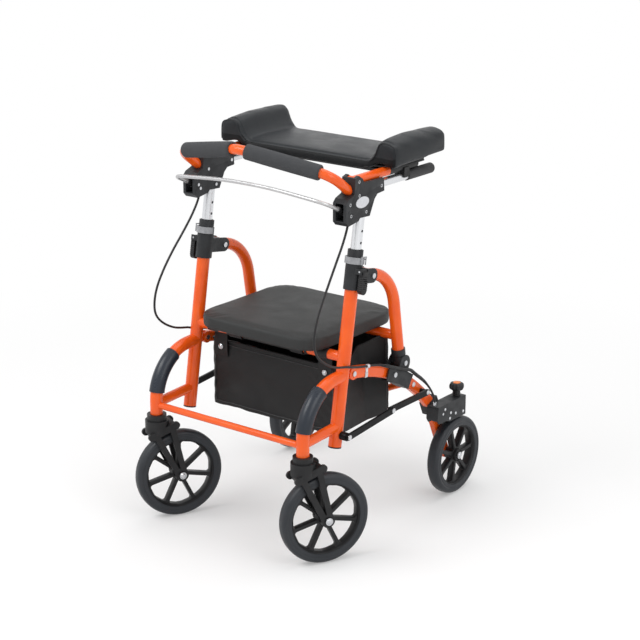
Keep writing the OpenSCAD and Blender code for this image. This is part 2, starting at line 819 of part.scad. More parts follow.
module collar(side) {
    inner = eye_half + slide_gap;
    color("#2a2c2e") centred() on_side(side) at_post(collar_s) difference() {
        union() {
            cylinder(d = collar_d, h = collar_len - neck_rise);
            cylinder(d = collar_d - 2 * neck_trim, h = collar_len);
            translate([0, lug_out, lug_up]) {
                for (x = [-inner - lug_cheek_t, inner]) side_plate(x, lug_cheek_t) lug_shape();
                side_plate(-inner - lug_cheek_t / 2, 2 * inner + lug_cheek_t)
                    translate([-lug_out, -collar_lug_r])
                    square([lug_out - cane_d / 2 - web_gap, 2 * collar_lug_r]);
            }
            for (y = [-lever_w / 2 - slide_gap - ear_t, lever_w / 2 + slide_gap])
                translate([0, y, toggle_s - lever_out]) cube([toggle_x + lever_out, ear_t, 2 * lever_out]);
        }
        translate([0, 0, -over]) cylinder(d = post_d + 2 * slide_gap, h = collar_len + 2 * over);
        translate([0, lug_out, lug_up]) cross_rod([0, 0, 0], -collar_d, collar_d, pin_d + 2 * seat_gap);
        translate([toggle_x, -collar_d, toggle_s]) rotate([-90, 0, 0])
            cylinder(d = toggle_pin_d + 2 * seat_gap, h = 2 * collar_d);
    }
}

// Clamp band round the neck, with the wire bail that the toggle pulls down
bail_d = 2.5;
band_drop = 1;
module clamp_bands() {
    band_z = collar_len - neck_rise + band_drop;
    bail_y = lever_w / 2 - bail_d;
    bail_x = collar_d / 2 + band_t + bail_d;
    color("#8d9196") centred() pair() at_post(collar_s) {
        difference() {
            translate([0, 0, band_z - band_h]) cylinder(d = collar_d + 2 * band_t, h = band_h);
            translate([0, 0, band_z - band_h - over])
                cylinder(d = collar_d + 2 * seat_gap, h = band_h + 2 * over);
            translate([-collar_d, 0, band_z - band_h - over])
                cube([collar_d - band_t, 2 * collar_d, band_h + 2 * over]);
        }
        for (y = [-bail_y, bail_y]) {
            rod([bail_x, y, band_z - band_h], [bail_x, y, band_z + bail_d], bail_d);
            rod([collar_d / 2, y, band_z - bail_d], [bail_x, y, band_z - bail_d], bail_d);
        }
        translate([bail_x, 0, band_z + bail_d]) rotate([90, 0, 0])
            cylinder(d = bail_d, h = 2 * bail_y + bail_d, center = true);
    }
}

module lug_bolts() {
    half = eye_half + slide_gap + lug_cheek_t;
    color("silver") centred() pair() {
        cross_bolt(cane_top, post_x - half, post_x + half, pin_d);
        at_post(collar_s) translate([toggle_x, -lever_w / 2 - slide_gap - ear_t, toggle_s])
            rotate([-90, 0, 0]) cylinder(d = toggle_pin_d, h = lever_w + 2 * slide_gap + 2 * ear_t);
    }
}

// Toggle lever: a ribbed paddle hanging from its pin
ribs = 7;
rib_t = 1.2;
rib_share = 0.8;
module latch_paddle() {
    pitch = (lever_len - lever_w) / ribs;
    rib_w = lever_w * rib_share;
    translate([-lever_out / 2, 0, -lever_len]) rotate([90, 0, 90]) linear_extrude(lever_t) {
        translate([-lever_w / 2, lever_w / 2]) square([lever_w, lever_len - lever_w / 2]);
        translate([0, lever_w / 2]) circle(d = lever_w);
    }
    for (i = [0 : ribs - 1])
        translate([lever_t - lever_out / 2, -rib_w / 2, -lever_len + lever_w / 2 + i * pitch])
            cube([rib_t, rib_w, pitch / 2]);
}

module latch_lever(side) {
    color("#181818") centred() on_side(side) at_post(collar_s)
        translate([toggle_x, 0, toggle_s]) difference() {
            union() {
                translate([0, -lever_w / 2, 0]) rotate([-90, 0, 0]) cylinder(d = lever_t, h = lever_w);
                latch_paddle();
            }
            translate([0, -lever_w, 0]) rotate([-90, 0, 0])
                cylinder(d = toggle_pin_d + 2 * run_gap, h = 2 * lever_w);
        }
}

// Canes
module cane(side) {
    color("orangered") centred() on_side(side) difference() {
        union() {
            bent_bar([cane_top, cane_corner, cane_foot], [cane_r]) round_section(cane_d);
            for (v = [cane_top, cane_foot])
                cross_rod(v, post_x - eye_half, post_x + eye_half, 2 * eye_half);
        }
        cross_rod(cane_top, post_x - cane_d, post_x + cane_d, pin_d + 2 * run_gap);
    }
}

module seat_rail_rear() {
    color("orangered") centred() difference() {
        cross_rod(rear_rail, -post_x, post_x, seat_rail_d);
        pair() rod(cane_foot, cane_corner, cane_d);
    }
}

// Folding stays
front_link_x = post_x + link_out + link_t + slide_gap;
module stay_fronts() {
    spacer_d_share = 1.3;
    color("#1a1a1a") centred() pair() difference() {
        union() {
            side_plate(front_link_x, link_t) link_shape(stay_front, stay_mid, link_w);
            cross_rod(stay_front, post_x + post_d / 2 + slide_gap, front_link_x, link_w * spacer_d_share);
        }
        cross_rod(stay_front, post_x, front_link_x + 2 * link_t, pin_d + 2 * run_gap);
        cross_rod(stay_mid, front_link_x - link_t, front_link_x + 2 * link_t, pin_d + 2 * seat_gap);
    }
}

module stay_rears() {
    spacer_share = 0.85;
    color("#1a1a1a") centred() pair() difference() {
        union() {
            side_plate(post_x + link_out, link_t) link_shape(stay_mid, stay_rear, link_w);
            cross_rod(stay_rear, post_x + arch_w / 2 + swing_gap, post_x + link_out, link_w * spacer_share);
        }
        cross_rod(stay_mid, post_x, front_link_x + 2 * link_t, pin_d + 2 * run_gap);
    }
}

module stay_bolts() {
    x0 = post_x + link_out - slide_gap;
    x1 = front_link_x + link_t;
    color("silver") centred() pair() {
        cross_rod(stay_mid, x0, x1, pin_d);
        cross_rod(stay_mid, x0 - pin_head_t, x0, pin_d * bolt_head_d_share);
        cross_rod(stay_mid, x1, x1 + pin_head_t, pin_d * bolt_head_d_share);
    }
}

// Brakes
housing_side = 1.5;
housing_x = post_x + arch_w / 2;
housing_w = 2 * (wheel_out - arch_w / 2) - 2 * housing_side;
housing_behind = 25;
housing_y = rear_axle[1] + housing_behind - housing_l;
housing_z = rear_d + housing_gap;
housing_shares = [[0, 0.35], [0.03, 1], [1, 1], [1, 0], [0.45, 0], [0.3, 0.12], [0.06, 0.12]];
shoe_pivot_shares = [0.2, 0.55];
shoe_pivot = [0, housing_y + shoe_pivot_shares[0] * housing_l, housing_z + shoe_pivot_shares[1] * housing_h];
knob_share = 0.86;
knob_boss_d = 14;
knob_boss_h = 9;
clamp_t = 4;
clamp_l = 34;
module brake_housings() {
    inner_l = housing_l - 2 * housing_t;
    color("#2b2d30") centred() pair() difference() {
        union() {
            side_plate(housing_x, housing_w)
                translate([housing_y, housing_z])
                polygon([for (p = housing_shares) [p[0] * housing_l, p[1] * housing_h]]);
            translate([housing_x + housing_w / 2, housing_y + knob_share * housing_l, housing_z + housing_h])
                cylinder(d = knob_boss_d, h = knob_boss_h);
            place(knee, [1, 0, 0], unit(rear_axle - knee))
                translate([-arch_w / 2 - clamp_t, -clamp_l / 2, -arch_h / 2 - clamp_t])
                cube([arch_w + clamp_t + housing_t, clamp_l, arch_h + 2 * clamp_t]);
        }
        rear_leg_bar(seat_gap);
        translate([housing_x + housing_t, housing_y + housing_t, housing_z - over])
            cube([housing_w - 2 * housing_t, inner_l, housing_h - housing_t + over]);
        cross_rod(shoe_pivot, housing_x - over, housing_x + housing_w + over, pin_d + 2 * seat_gap);
        translate([housing_x + housing_w / 2, housing_y + knob_share * housing_l, housing_z])
            cylinder(d = knob_stem_d + 2 * run_gap, h = housing_h + knob_boss_h + over);
    }
}

shoe_arm = 13;
shoe_w = 18;
shoe_front_share = 0.5;
shoe_rear_share = 0.8;
shoe_top_share = 0.42;
module brake_shoes() {
    tip = [0, housing_y + shoe_rear_share * housing_l, shoe_pivot[2]];
    front = housing_y + shoe_front_share * housing_l;
    block_z = rear_d;
    color("#1c1c1c") centred() pair() difference() {
        side_plate(housing_x + (housing_w - shoe_w) / 2, shoe_w) difference() {
            union() {
                link_shape(shoe_pivot, tip - [0, shoe_arm / 2, shoe_arm / 2], shoe_arm);
                translate([front, block_z])
                    square([tip[1] - front, shoe_pivot[2] - block_z]);
            }
            translate([rear_axle[1], rear_axle[2]]) circle(d = rear_d + 2 * shoe_gap, $fn = 180);
        }
        cross_rod(shoe_pivot, housing_x, housing_x + housing_w, pin_d + 2 * run_gap);
    }
}

// Drag knob: six lobes on a stem
lobes = 6;
knob_stem_d = 8;
lobe_d_share = 0.3;
cap_share = 0.5;
knob_cap_h = 1.5;
knob_neck_h = 4;
module drag_knob(side) {
    base = housing_z + housing_h + knob_boss_h + slide_gap;
    color("#1a1a1a") centred() on_side(side)
        translate([housing_x + housing_w / 2, housing_y + knob_share * housing_l, base]) {
            difference() {
                translate([0, 0, knob_neck_h]) cylinder(d = knob_d, h = knob_h);
                for (i = [0 : lobes - 1]) rotate([0, 0, 360 * i / lobes])
                    translate([knob_d / 2 + knob_d * lobe_d_share / 4, 0, knob_neck_h - over])
                    cylinder(d = knob_d * lobe_d_share, h = knob_h + 2 * over);
            }
            cylinder(d = knob_boss_d, h = knob_neck_h);
            translate([0, 0, knob_neck_h + knob_h]) cylinder(d = knob_d * cap_share, h = knob_cap_h);
            translate([0, 0, -knob_boss_h - housing_t])
                cylinder(d = knob_stem_d, h = knob_boss_h + housing_t);
        }
}

// Handle brackets in two shells
bracket_shares = [[0, 0.5], [0.06, 0.58], [0.212, 0.65], [0.235, 0.962], [0.326, 1], [0.424, 0.924],
    [0.462, 0.838], [0.985, 0.819], [1, 0.552], [0.818, 0.533], [0.742, 0.448], [0.614, 0.133],
    [0.364, 0.152], [0.318, 0.1], [0.06, 0.05], [0, 0.13]];
case_screw_shares = [[0.114, 0.467], [0.136, 0.238]];
handle_bolt = 7;
screw_d = 4;
case_screws = [for (p = case_screw_shares) on_bracket(p)];
tube_screw_s = bracket_s + 17;
tube_end_s = bracket_s + 34;
push_screw = push_root + [0, 29, 0];
handle_screw = handle_root + handle_bolt * handle_run;
all_screws = concat(case_screws, [on_post(tube_screw_s), push_screw, handle_screw]);
pocket_shares = [[-0.05, 0.15], [0.18, 0.15], [0.18, 0.5], [-0.05, 0.5]];
pocket_w = 20;
cable_side = 1;
cable_behind = 19;
cable_exit = [post_x - cable_side, lever_pivot[1] + cable_behind, bracket_foot[2] - over];
module bracket_bores() {
    at_post(bracket_s - bracket_h)
        cylinder(d = tube_d + 2 * seat_gap, h = bracket_h + tube_end_s - bracket_s + seat_gap);
    rod(handle_root - seat_gap * handle_run, handle_corner, handle_d + 2 * seat_gap);
    rod(push_root - [0, seat_gap, 0], push_root + [0, push_len, 0], push_d + 2 * seat_gap);
    slot_w = rail_d + 2 * slide_gap;
    floor_z = rail_hinge[2] - rail_d / 2 - slide_gap;
    translate([post_x - slot_w / 2, rail_hinge[1] - rail_d / 2 - swing_gap, floor_z])
        cube([slot_w, bracket_l, bracket_h]);
    side_plate(post_x - pocket_w / 2, pocket_w) translate([bracket_foot[1], bracket_foot[2]])
        polygon([for (p = pocket_shares) [p[0] * bracket_l, p[1] * bracket_h]]);
    for (v = concat(all_screws, [rail_hinge, lever_pivot])) {
        cross_rod(v, post_x - bracket_w, post_x + bracket_w, screw_d + 2 * seat_gap);
        cross_rod(v, post_x + bracket_w / 2 - screw_head_t - head_sink - seat_gap, post_x + bracket_w,
            screw_head_d + 2 * seat_gap);
    }
    translate(cable_exit) cylinder(d = cable_d + 2 * slide_gap, h = bracket_h / 4);
}

module bracket_shell(x0) {
    color("#2c2e30") centred() pair() difference() {
        side_plate(x0, bracket_w / 2) translate([bracket_foot[1], bracket_foot[2]])
            polygon([for (p = bracket_shares) [p[0] * bracket_l, p[1] * bracket_h]]);
        bracket_bores();
    }
}

module bracket_outer_shells() { bracket_shell(post_x); }
module bracket_inner_shells() { bracket_shell(post_x - bracket_w / 2); }

screw_head_d = 7;
screw_head_t = 1;
head_sink = 0.2;
module bracket_screws() {
    x0 = post_x - bracket_w / 2;
    x1 = post_x + bracket_w / 2;
    color("silver") centred() pair() for (v = concat(all_screws, [rail_hinge, lever_pivot])) {
        cross_rod(v, x0, x1 - screw_head_t / 2 - head_sink, screw_d);
        cross_rod(v, x0 - screw_head_t, x0, screw_head_d);
        cross_rod(v, x1 - screw_head_t - head_sink, x1 - head_sink, screw_head_d);
    }
}

// Height tubes with their row of holes
tube_len = 360;
hole_d = 6;
hole_pitch = 25;
hole_first = 24;
holes = 8;
module height_tubes() {
    low = tube_end_s - tube_len;
    color("#d8dade") centred() pair() difference() {
        at_post(low) cylinder(d = tube_d, h = tube_len);
        at_post(low - over) cylinder(d = tube_d - 2 * tube_wall, h = tube_len + 2 * over);
        for (i = [0 : holes - 1]) {
            hole = on_post(bracket_s - hole_first - i * hole_pitch);
            cross_rod(hole, post_x - tube_d, post_x + tube_d, hole_d);
        }
        cross_rod(on_post(tube_screw_s), post_x - tube_d, post_x + tube_d, screw_d + 2 * seat_gap);
    }
}

module push_tubes() {
    color("#d8dade") centred() pair() difference() {
        rod(push_root, push_root + [0, push_len, 0], push_d);
        cross_rod(push_screw, post_x - push_d, post_x + push_d, screw_d + 2 * seat_gap);
    }
}

grip_wall_end = 5;
module push_grips() {
    end = push_root + [0, push_len + grip_wall_end, 0];
    start = end - [0, grip_len, 0];
    r = grip_d / 2;
    color("#202224") centred() pair() difference() {
        place(start, [1, 0, 0], [0, 0, -1]) rotate_extrude() {
            square([r, grip_len - grip_wall_end]);
            square([r - grip_wall_end, grip_len]);
            translate([r - grip_wall_end, grip_len - grip_wall_end]) intersection() {
                circle(r = grip_wall_end);
                square(grip_wall_end);
            }
        }
        rod(push_root, push_root + [0, push_len, 0] + [0, seat_gap, 0], push_d + 2 * seat_gap);
    }
}

handle_path = [handle_root, handle_corner, handle_mid, other_side(handle_corner), other_side(handle_root)];
handle_radii = [handle_corner_r, handle_mid_r, handle_corner_r];
module handlebar() {
    color("orangered") centred() difference() {
        bent_bar(handle_path, handle_radii, [0, 0, 1]) round_section(handle_d);
        pair() cross_rod(handle_screw, post_x - handle_d, post_x + handle_d, screw_d + 2 * seat_gap);
    }
}

foam_edge = 3;
module foam_grips() {
    along = unit(handle_mid - handle_corner);
    start = handle_corner + (setback(handle_path, handle_radii, 1) + ring_w) * along;
    end = handle_mid - (setback(handle_path, handle_radii, 2) + ring_w) * along;
    run = norm(end - start);
    side = square_to(along, [0, 0, 1]);
    color("#303234") centred() pair() place(start, cross(side, along), side) rotate_extrude() {
        bore = handle_d / 2 + seat_gap;
        translate([bore, foam_edge]) square([foam_d / 2 - bore, run - 2 * foam_edge]);
        translate([bore, 0]) square([foam_d / 2 - bore - foam_edge, run]);
        for (z = [foam_edge, run - foam_edge]) translate([foam_d / 2 - foam_edge, z]) circle(r = foam_edge);
    }
}

// Brake loop and the lever blocks that carry it
lever_boss_d = 12;
lever_boss_w = 16;
lever_arm = 20;
loop_ahead = 62;
loop_lift = 29;
loop_bow = 6;
loop_crown = 19;
loop_corner_r = 26;
loop_corner = lever_pivot + [0, -loop_ahead, loop_lift];
loop_mid = [0, loop_corner[1] - loop_bow, loop_corner[2] + loop_crown];
loop_start = lever_pivot + lever_arm * unit(loop_corner - lever_pivot);
module brake_loop() {
    path = [loop_start, loop_corner, loop_mid, other_side(loop_corner), other_side(loop_start)];
    mid_turn = 2 * asin(norm([loop_bow, loop_crown]) / norm(loop_mid - loop_corner));
    mid_share = 0.6;
    mid_r = mid_share * norm(loop_mid - loop_corner) / tan(mid_turn / 2);
    color("#dcdee0") centred()
        bent_bar(path, [loop_corner_r, mid_r, loop_corner_r], [0, 0, 1]) round_section(loop_d);
}

module brake_levers() {
    color("#181818") centred() pair() difference() {
        union() {
            cross_rod(lever_pivot, post_x - lever_boss_w / 2, post_x + lever_boss_w / 2, lever_boss_d);
            rod(lever_pivot, loop_start, lever_boss_d);
        }
        cross_rod(lever_pivot, post_x - bracket_w, post_x + bracket_w, screw_d + 2 * run_gap);
    }
}

// Forearm pad, its board and its rails
rail_drop = 2;
clip_l = 18;
clip_t = 3;
clip_set = 165;
board_x = post_x + rail_d / 4;
module pad_rails() {
    color("orangered") centred() pair() difference() {
        union() {
            rod(rail_hinge, rail_hinge + [0, rail_len, 0], rail_d);
            cross_rod(rail_hinge, post_x - rail_d / 2, post_x + rail_d / 2, rail_d);
        }
        cross_rod(rail_hinge, post_x - rail_d, post_x + rail_d, screw_d + 2 * run_gap);
    }
}

board_inset = 20;
module pad_board() {
    clip_y = rail_hinge[1] + clip_set;
    clip_w = push_d + 2 * slide_gap + 2 * clip_t;
    board_z = rail_hinge[2] - rail_drop - board_t / 2;
    color("#1d1e20") centred() difference() {
        union() {
            translate([-board_x, rail_hinge[1] + pad_set + board_inset, board_z])
                cube([2 * board_x, pad_l - 2 * board_inset, board_t]);
            pair() translate([post_x - clip_w / 2, clip_y, push_root[2]])
                cube([clip_w, clip_l, rail_hinge[2] - push_root[2]]);
        }
        pair() {
            rod(rail_hinge, rail_hinge + [0, 2 * rail_len, 0], rail_d + 2 * seat_gap);
            rod(push_root, push_root + [0, 2 * push_len, 0], push_d + 2 * slide_gap);
        }
    }
}

pad_cols = 34;
pad_rows = 10;
wing_in_share = 0.74;
wing_full_share = 0.9;
wing_rear_share = 0.3;
under_rise = 14;
skirt_in_share = 0.87;
skirt_full_share = 0.95;
skirt_drop = 11;
lip_in_share = 0.6;
lip_end_share = 0.74;
lip_row = 0.81;
lip_full_row = 0.93;
lip_drop = 6;
pad_crown = 3;
pad_edge_share = 0.82;
pad_base = rail_hinge[2] - rail_drop + board_t / 2 + seat_gap;
function wing(u) = smooth((abs(u) - wing_in_share) / (wing_full_share - wing_in_share));
function full(u, power) = pad_edge_share + (1 - pad_edge_share) * sqrt(max(0, 1 - pow(abs(u), power)));
function skirt(u) = smooth((abs(u) - skirt_in_share) / (skirt_full_share - skirt_in_share));
function lip(u, v) = smooth((-v - lip_row) / (lip_full_row - lip_row))
    * (1 - smooth((abs(u) - lip_in_share) / (lip_end_share - lip_in_share)));
function pad_low(u, v) = pad_base + wing(u) * under_rise * (1 + (1 + v) * wing_rear_share)
    - skirt(u) * skirt_drop - lip(u, v) * lip_drop;
function pad_top(u, v) = pad_base + pad_t + pad_crown * (1 - v * v) * (1 - wing(u))
    + wing(u) * wing_rise * (1 + v * wing_rear_share / 2);
function pad_point(u, v, up) =
    let (mid = (pad_low(u, v) + pad_top(u, v)) / 2,
        half = (pad_top(u, v) - pad_low(u, v)) / 2,
        fill = up > 0 ? full(u, 10) * full(v, 8) : 1 - (1 - full(u, 10)) * wing(u))
    [u * pad_w / 2, rail_hinge[1] + pad_set + (1 + v) * pad_l / 2, mid + up * half * fill];
module armrest_pad() {
    us = [for (i = [0 : pad_cols]) sin(90 * (2 * i / pad_cols - 1))];
    vs = [for (i = [0 : pad_rows]) sin(90 * (2 * i / pad_rows - 1))];
    color("#222426") centred() loft([for (v = vs) concat(
        [for (i = [0 : pad_cols]) pad_point(us[i], v, 1)],
        [for (i = [pad_cols : -1 : 0]) pad_point(us[i], v, -1)])]);
}

// Seat
seat_z = front_rail[2] + seat_rail_d / 2 + slide_gap;
seat_y = front_rail[1] - seat_nose;
clamp_x = 85;
clamp_w = 34;
clamp_wall = 4;
seat_corner = 34;
module rounded_plate(w, l, r) {
    translate([r, 0]) square([w - 2 * r, l]);
    translate([0, r]) square([w, l - 2 * r]);
    for (x = [r, w - r], y = [r, l - r]) translate([x, y]) circle(r = r);
}

// The board lies in a pocket of the cushion, behind its rim
seat_rim = 14;
module seat_board_plate(grow) {
    inset = seat_rim - grow;
    translate([-seat_w / 2 + inset, seat_y + inset])
        rounded_plate(seat_w - 2 * inset, seat_l - 2 * inset, seat_corner);
}

module seat_board() {
    outer_d = seat_rail_d + 2 * slide_gap + 2 * clamp_wall;
    color("#1b1b1b") centred() {
        translate([0, 0, seat_z]) linear_extrude(seat_board_t) seat_board_plate(0);
        pair() difference() {
            union() {
                cross_rod(front_rail, clamp_x - clamp_w / 2, clamp_x + clamp_w / 2, outer_d);
                translate([clamp_x - clamp_w / 2, front_rail[1] - outer_d / 2, front_rail[2]])
                    cube([clamp_w, outer_d, outer_d / 2]);
            }
            cross_rod(front_rail, 0, 2 * clamp_x, seat_rail_d + 2 * slide_gap);
        }
    }
}

seat_points = 72;
seat_power = 6.5;
seat_pull_share = 0.012;
seat_ring_shares = [[0.965, 0], [0.995, 0.16], [1, 0.45], [0.99, 0.72], [0.965, 0.9], [0.92, 1], [0.8, 1.12],
    [0.55, 1.2], [0.25, 1.25]];
function seat_out(a) = (1 - seat_pull_share * pow(cos(2 * a), 2))
    / pow(pow(abs(cos(a)), seat_power) + pow(abs(sin(a)), seat_power), 1 / seat_power);
module seat_cushion() {
    color("#2a2c2c") centred() difference() {
        loft([for (p = seat_ring_shares) [for (j = [0 : seat_points - 1])
            let (a = 360 * j / seat_points, r = p[0] * seat_out(a), rise = max(0, p[1] - 1) * 4)
            [r * cos(a) * seat_w / 2, seat_y + seat_l / 2 + r * sin(a) * seat_l / 2,
                seat_z + min(p[1], 1) * seat_t + rise * seat_crown]]]);
        translate([0, 0, seat_z - over])
            linear_extrude(over + seat_board_t + seat_gap) seat_board_plate(seat_gap);
    }
}

// Bag under the seat, open on top, hung from the front rail by two tabs
bag_drop = 16;
bag_behind = 14;
bag_corner = 12;
bag_w = post_gap - arch_w - 2 * bag_side_gap;
bag_snap_in = 36;
bag_snap_x = bag_w / 2 - bag_snap_in;
tab_w = 40;
bag_top = front_rail[2] - seat_rail_d / 2 - bag_drop;
bag_front = front_rail[1] + bag_behind;
module bag() {
    tab_t = bag_behind + bag_t - seat_rail_d / 2;
    color("#191a1b") centred() {
        translate([-bag_w / 2, bag_front, bag_top - bag_h]) difference() {
            linear_extrude(bag_h) rounded_plate(bag_w, bag_l, bag_corner);
            translate([bag_t, bag_t, bag_t]) linear_extrude(bag_h)
                rounded_plate(bag_w - 2 * bag_t, bag_l - 2 * bag_t, bag_corner - bag_t);
        }
        for (x = [-bag_snap_x, bag_snap_x]) difference() {
            translate([x - tab_w / 2, front_rail[1] + seat_rail_d / 2 - over, bag_top - bag_drop])
                cube([tab_w, tab_t + over, bag_drop + front_rail[2] - bag_top]);
            cross_rod(front_rail, x - tab_w, x + tab_w, seat_rail_d + 2 * seat_gap);
            translate([x - tab_w, front_rail[1] - over, bag_top - bag_h])
                cube([2 * tab_w, seat_rail_d / 2 + over, bag_h + bag_top - front_rail[2] + seat_rail_d]);
        }
    }
}

// Brake cables: from the brackets to the arch hinges, and on to the brake housings
upper_offsets = [[-1, 154, 716], [-1, 152, 704], [0, 143, 686], [2, 127, 662], [5, 103, 632], [9, 75, 598],
    [12, 47, 560], [14, 27, 524], [15, 19, 490], [16, 25, 462], [17, 49, 438], [17.5, 85, 419],
    [17.5, 125, 409]];
lower_offsets = [[17.5, -37, 26.9], [17.5, -18, 21], [15, 10, 13.5], [13, 44, 6], [14, 79, -1],
    [18, 106, -10], [20.5, 132, -20], [20.5, 162, -32], [20.5, 192, -42]];
lower_end_offsets = [[21, -150.543, 234.16], [21, -118.543, 210.16], [22.5, -97.543, 188.16],
    [24.5, -84.543, 167.16], [25.5, -78.143, 148.56]];
upper_route = [for (p = upper_offsets) [post_x, stem_y, 0] + p];
lower_route = concat([for (p = lower_offsets) arch_pivot + p], [for (p = lower_end_offsets) rear_axle + p]);
module cable_uppers() {
    color("#151515") centred() pair() cable(upper_route, cable_d, 8, 3);
}

module cable_lowers() {
    color("#151515") centred() pair() cable(lower_route, cable_d, 8, 3);
}

// Clips on the arches and adjusters on the housings
clip_angle = 12.3;
guide_t = 1.5;
guide_l = 9;
guide_h = 12;
adjuster_d = 8;
adjuster_h = 8;
adjuster_share = 0.09;
module cable_guides() {
    clip = on_arch(clip_angle);
    color("silver") centred() pair() {
        translate([post_x + arch_w / 2, clip[1] - guide_l / 2, clip[2] - guide_h])
            cube([guide_t, guide_l, guide_h]);
        translate([housing_x + housing_w / 2, housing_y + adjuster_share * housing_l, housing_z + housing_h])
            cylinder(d = adjuster_d, h = adjuster_h);
    }
}

// Left and right pieces
module post_left() { post(1); }
module post_right() { post(-1); }
module front_arc_left() { front_arc(1); }
module front_arc_right() { front_arc(-1); }
module rear_arch_left() { rear_arch(1); }
module rear_arch_right() { rear_arch(-1); }
module collar_left() { collar(1); }
module collar_right() { collar(-1); }
module latch_lever_left() { latch_lever(1); }
module latch_lever_right() { latch_lever(-1); }
module cane_left() { cane(1); }
module cane_right() { cane(-1); }
module castor_fork_left() { castor_fork(1); }
module castor_fork_right() { castor_fork(-1); }
module castor_rim_left() { castor_rim(1); }
module castor_rim_right() { castor_rim(-1); }
module castor_tyre_left() { castor_tyre(1); }
module castor_tyre_right() { castor_tyre(-1); }
module rear_rim_left() { rear_rim(1); }
module rear_rim_right() { rear_rim(-1); }
module rear_tyre_left() { rear_tyre(1); }
module rear_tyre_right() { rear_tyre(-1); }
module drag_knob_left() { drag_knob(1); }
module drag_knob_right() { drag_knob(-1); }

post_left();
post_right();
front_arc_left();
front_arc_right();
lower_braces();
front_crossbar();
seat_rail_front();
post_plugs();
bumper_sleeves();
post_pins();
bag();
cable_uppers();
rear_arch_left();
rear_arch_right();
saddles();
rear_crossbar();
rear_bolts();
brake_housings();
cable_guides();
cable_lowers();
collar_left();
collar_right();
clamp_bands();
lug_bolts();
latch_lever_left();
latch_lever_right();
cane_left();
cane_right();
seat_rail_rear();
stay_fronts();
stay_rears();
stay_bolts();
castor_fork_left();
castor_fork_right();
castor_rim_left();
castor_rim_right();
castor_tyre_left();
castor_tyre_right();
rear_rim_left();
rear_rim_right();
rear_tyre_left();
rear_tyre_right();
brake_shoes();
drag_knob_left();
drag_knob_right();
height_tubes();
bracket_outer_shells();
bracket_inner_shells();
bracket_screws();
push_tubes();
push_grips();
handlebar();
foam_grips();
brake_loop();
brake_levers();
pad_rails();
pad_board();
armrest_pad();
seat_board();
seat_cushion();
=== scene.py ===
import json
import math

import bmesh
import bpy
from mathutils import Matrix, Vector, noise
from mathutils.bvhtree import BVHTree
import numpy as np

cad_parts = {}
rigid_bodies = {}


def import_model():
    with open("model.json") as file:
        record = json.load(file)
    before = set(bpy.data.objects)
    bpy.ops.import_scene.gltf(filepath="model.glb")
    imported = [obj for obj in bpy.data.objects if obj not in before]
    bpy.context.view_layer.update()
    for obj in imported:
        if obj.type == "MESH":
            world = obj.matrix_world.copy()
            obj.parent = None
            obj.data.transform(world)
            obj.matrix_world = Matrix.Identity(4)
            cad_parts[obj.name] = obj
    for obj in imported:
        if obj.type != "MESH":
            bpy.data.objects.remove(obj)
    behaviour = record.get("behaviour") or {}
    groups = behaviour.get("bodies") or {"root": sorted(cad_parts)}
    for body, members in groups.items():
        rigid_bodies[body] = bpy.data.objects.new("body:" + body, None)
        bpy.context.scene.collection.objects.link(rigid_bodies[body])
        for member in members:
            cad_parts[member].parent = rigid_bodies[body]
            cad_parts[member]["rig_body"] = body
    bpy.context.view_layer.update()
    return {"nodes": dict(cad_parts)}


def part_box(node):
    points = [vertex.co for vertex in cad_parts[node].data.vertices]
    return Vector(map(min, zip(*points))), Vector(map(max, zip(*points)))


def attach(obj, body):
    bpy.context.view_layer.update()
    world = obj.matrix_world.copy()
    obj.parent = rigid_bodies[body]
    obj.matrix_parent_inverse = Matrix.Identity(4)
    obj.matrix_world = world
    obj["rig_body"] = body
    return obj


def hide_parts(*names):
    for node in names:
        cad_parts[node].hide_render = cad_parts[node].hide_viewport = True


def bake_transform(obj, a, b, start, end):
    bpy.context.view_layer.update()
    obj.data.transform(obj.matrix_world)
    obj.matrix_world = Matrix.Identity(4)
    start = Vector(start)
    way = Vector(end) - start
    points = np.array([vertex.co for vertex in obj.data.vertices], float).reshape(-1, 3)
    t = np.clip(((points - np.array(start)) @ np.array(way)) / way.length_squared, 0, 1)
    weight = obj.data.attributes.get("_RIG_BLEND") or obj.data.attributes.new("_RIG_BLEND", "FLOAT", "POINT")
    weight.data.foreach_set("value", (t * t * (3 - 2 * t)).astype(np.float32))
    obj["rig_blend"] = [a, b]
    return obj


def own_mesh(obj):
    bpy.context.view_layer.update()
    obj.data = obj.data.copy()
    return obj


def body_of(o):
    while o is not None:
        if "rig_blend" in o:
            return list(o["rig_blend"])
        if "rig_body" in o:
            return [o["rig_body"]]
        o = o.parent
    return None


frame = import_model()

# Places and sizes shared with the CAD frame, in metres
MIDDLE_X = -0.0165754
POST_X = 0.204
POST_WAY = Vector((0, 0.16677, 0.98600))
STEM_Y = -0.282981
ARCH_HINGE = Vector((POST_X, -0.120524, 0.38216))
ARCH_FACE_X = 0.214
BRACKET_FACE_X = 0.221
SIDES = {"left": 1, "right": -1}


def on_side(side, point):
    """A point given for the left side, moved to that side of the walker."""
    return Vector((SIDES[side] * point[0] + MIDDLE_X, point[1], point[2]))


def on_circle(radius, angle):
    return Vector((radius * math.cos(angle), radius * math.sin(angle), 0))


def eased(t):
    """From 0 to 1 with soft ends, and flat outside."""
    t = min(max(t, 0.0), 1.0)
    return t * t * (3 - 2 * t)


def ramp(value, start, span):
    """From 0 at start to 1 a span further on, with soft ends."""
    return eased((value - start) / span)


# Shader groups

def node_with(tree, kind, inputs, **settings):
    """A new node with its settings, and each input linked to a socket or set to a value."""
    node = tree.nodes.new(kind)
    for label, value in settings.items():
        setattr(node, label, value)
    for label, value in inputs.items():
        if isinstance(value, bpy.types.NodeSocket):
            tree.links.new(value, node.inputs[label])
        else:
            node.inputs[label].default_value = value
    return node


def math_node(tree, operation, *values):
    return node_with(tree, "ShaderNodeMath", dict(enumerate(values)), operation=operation).outputs[0]


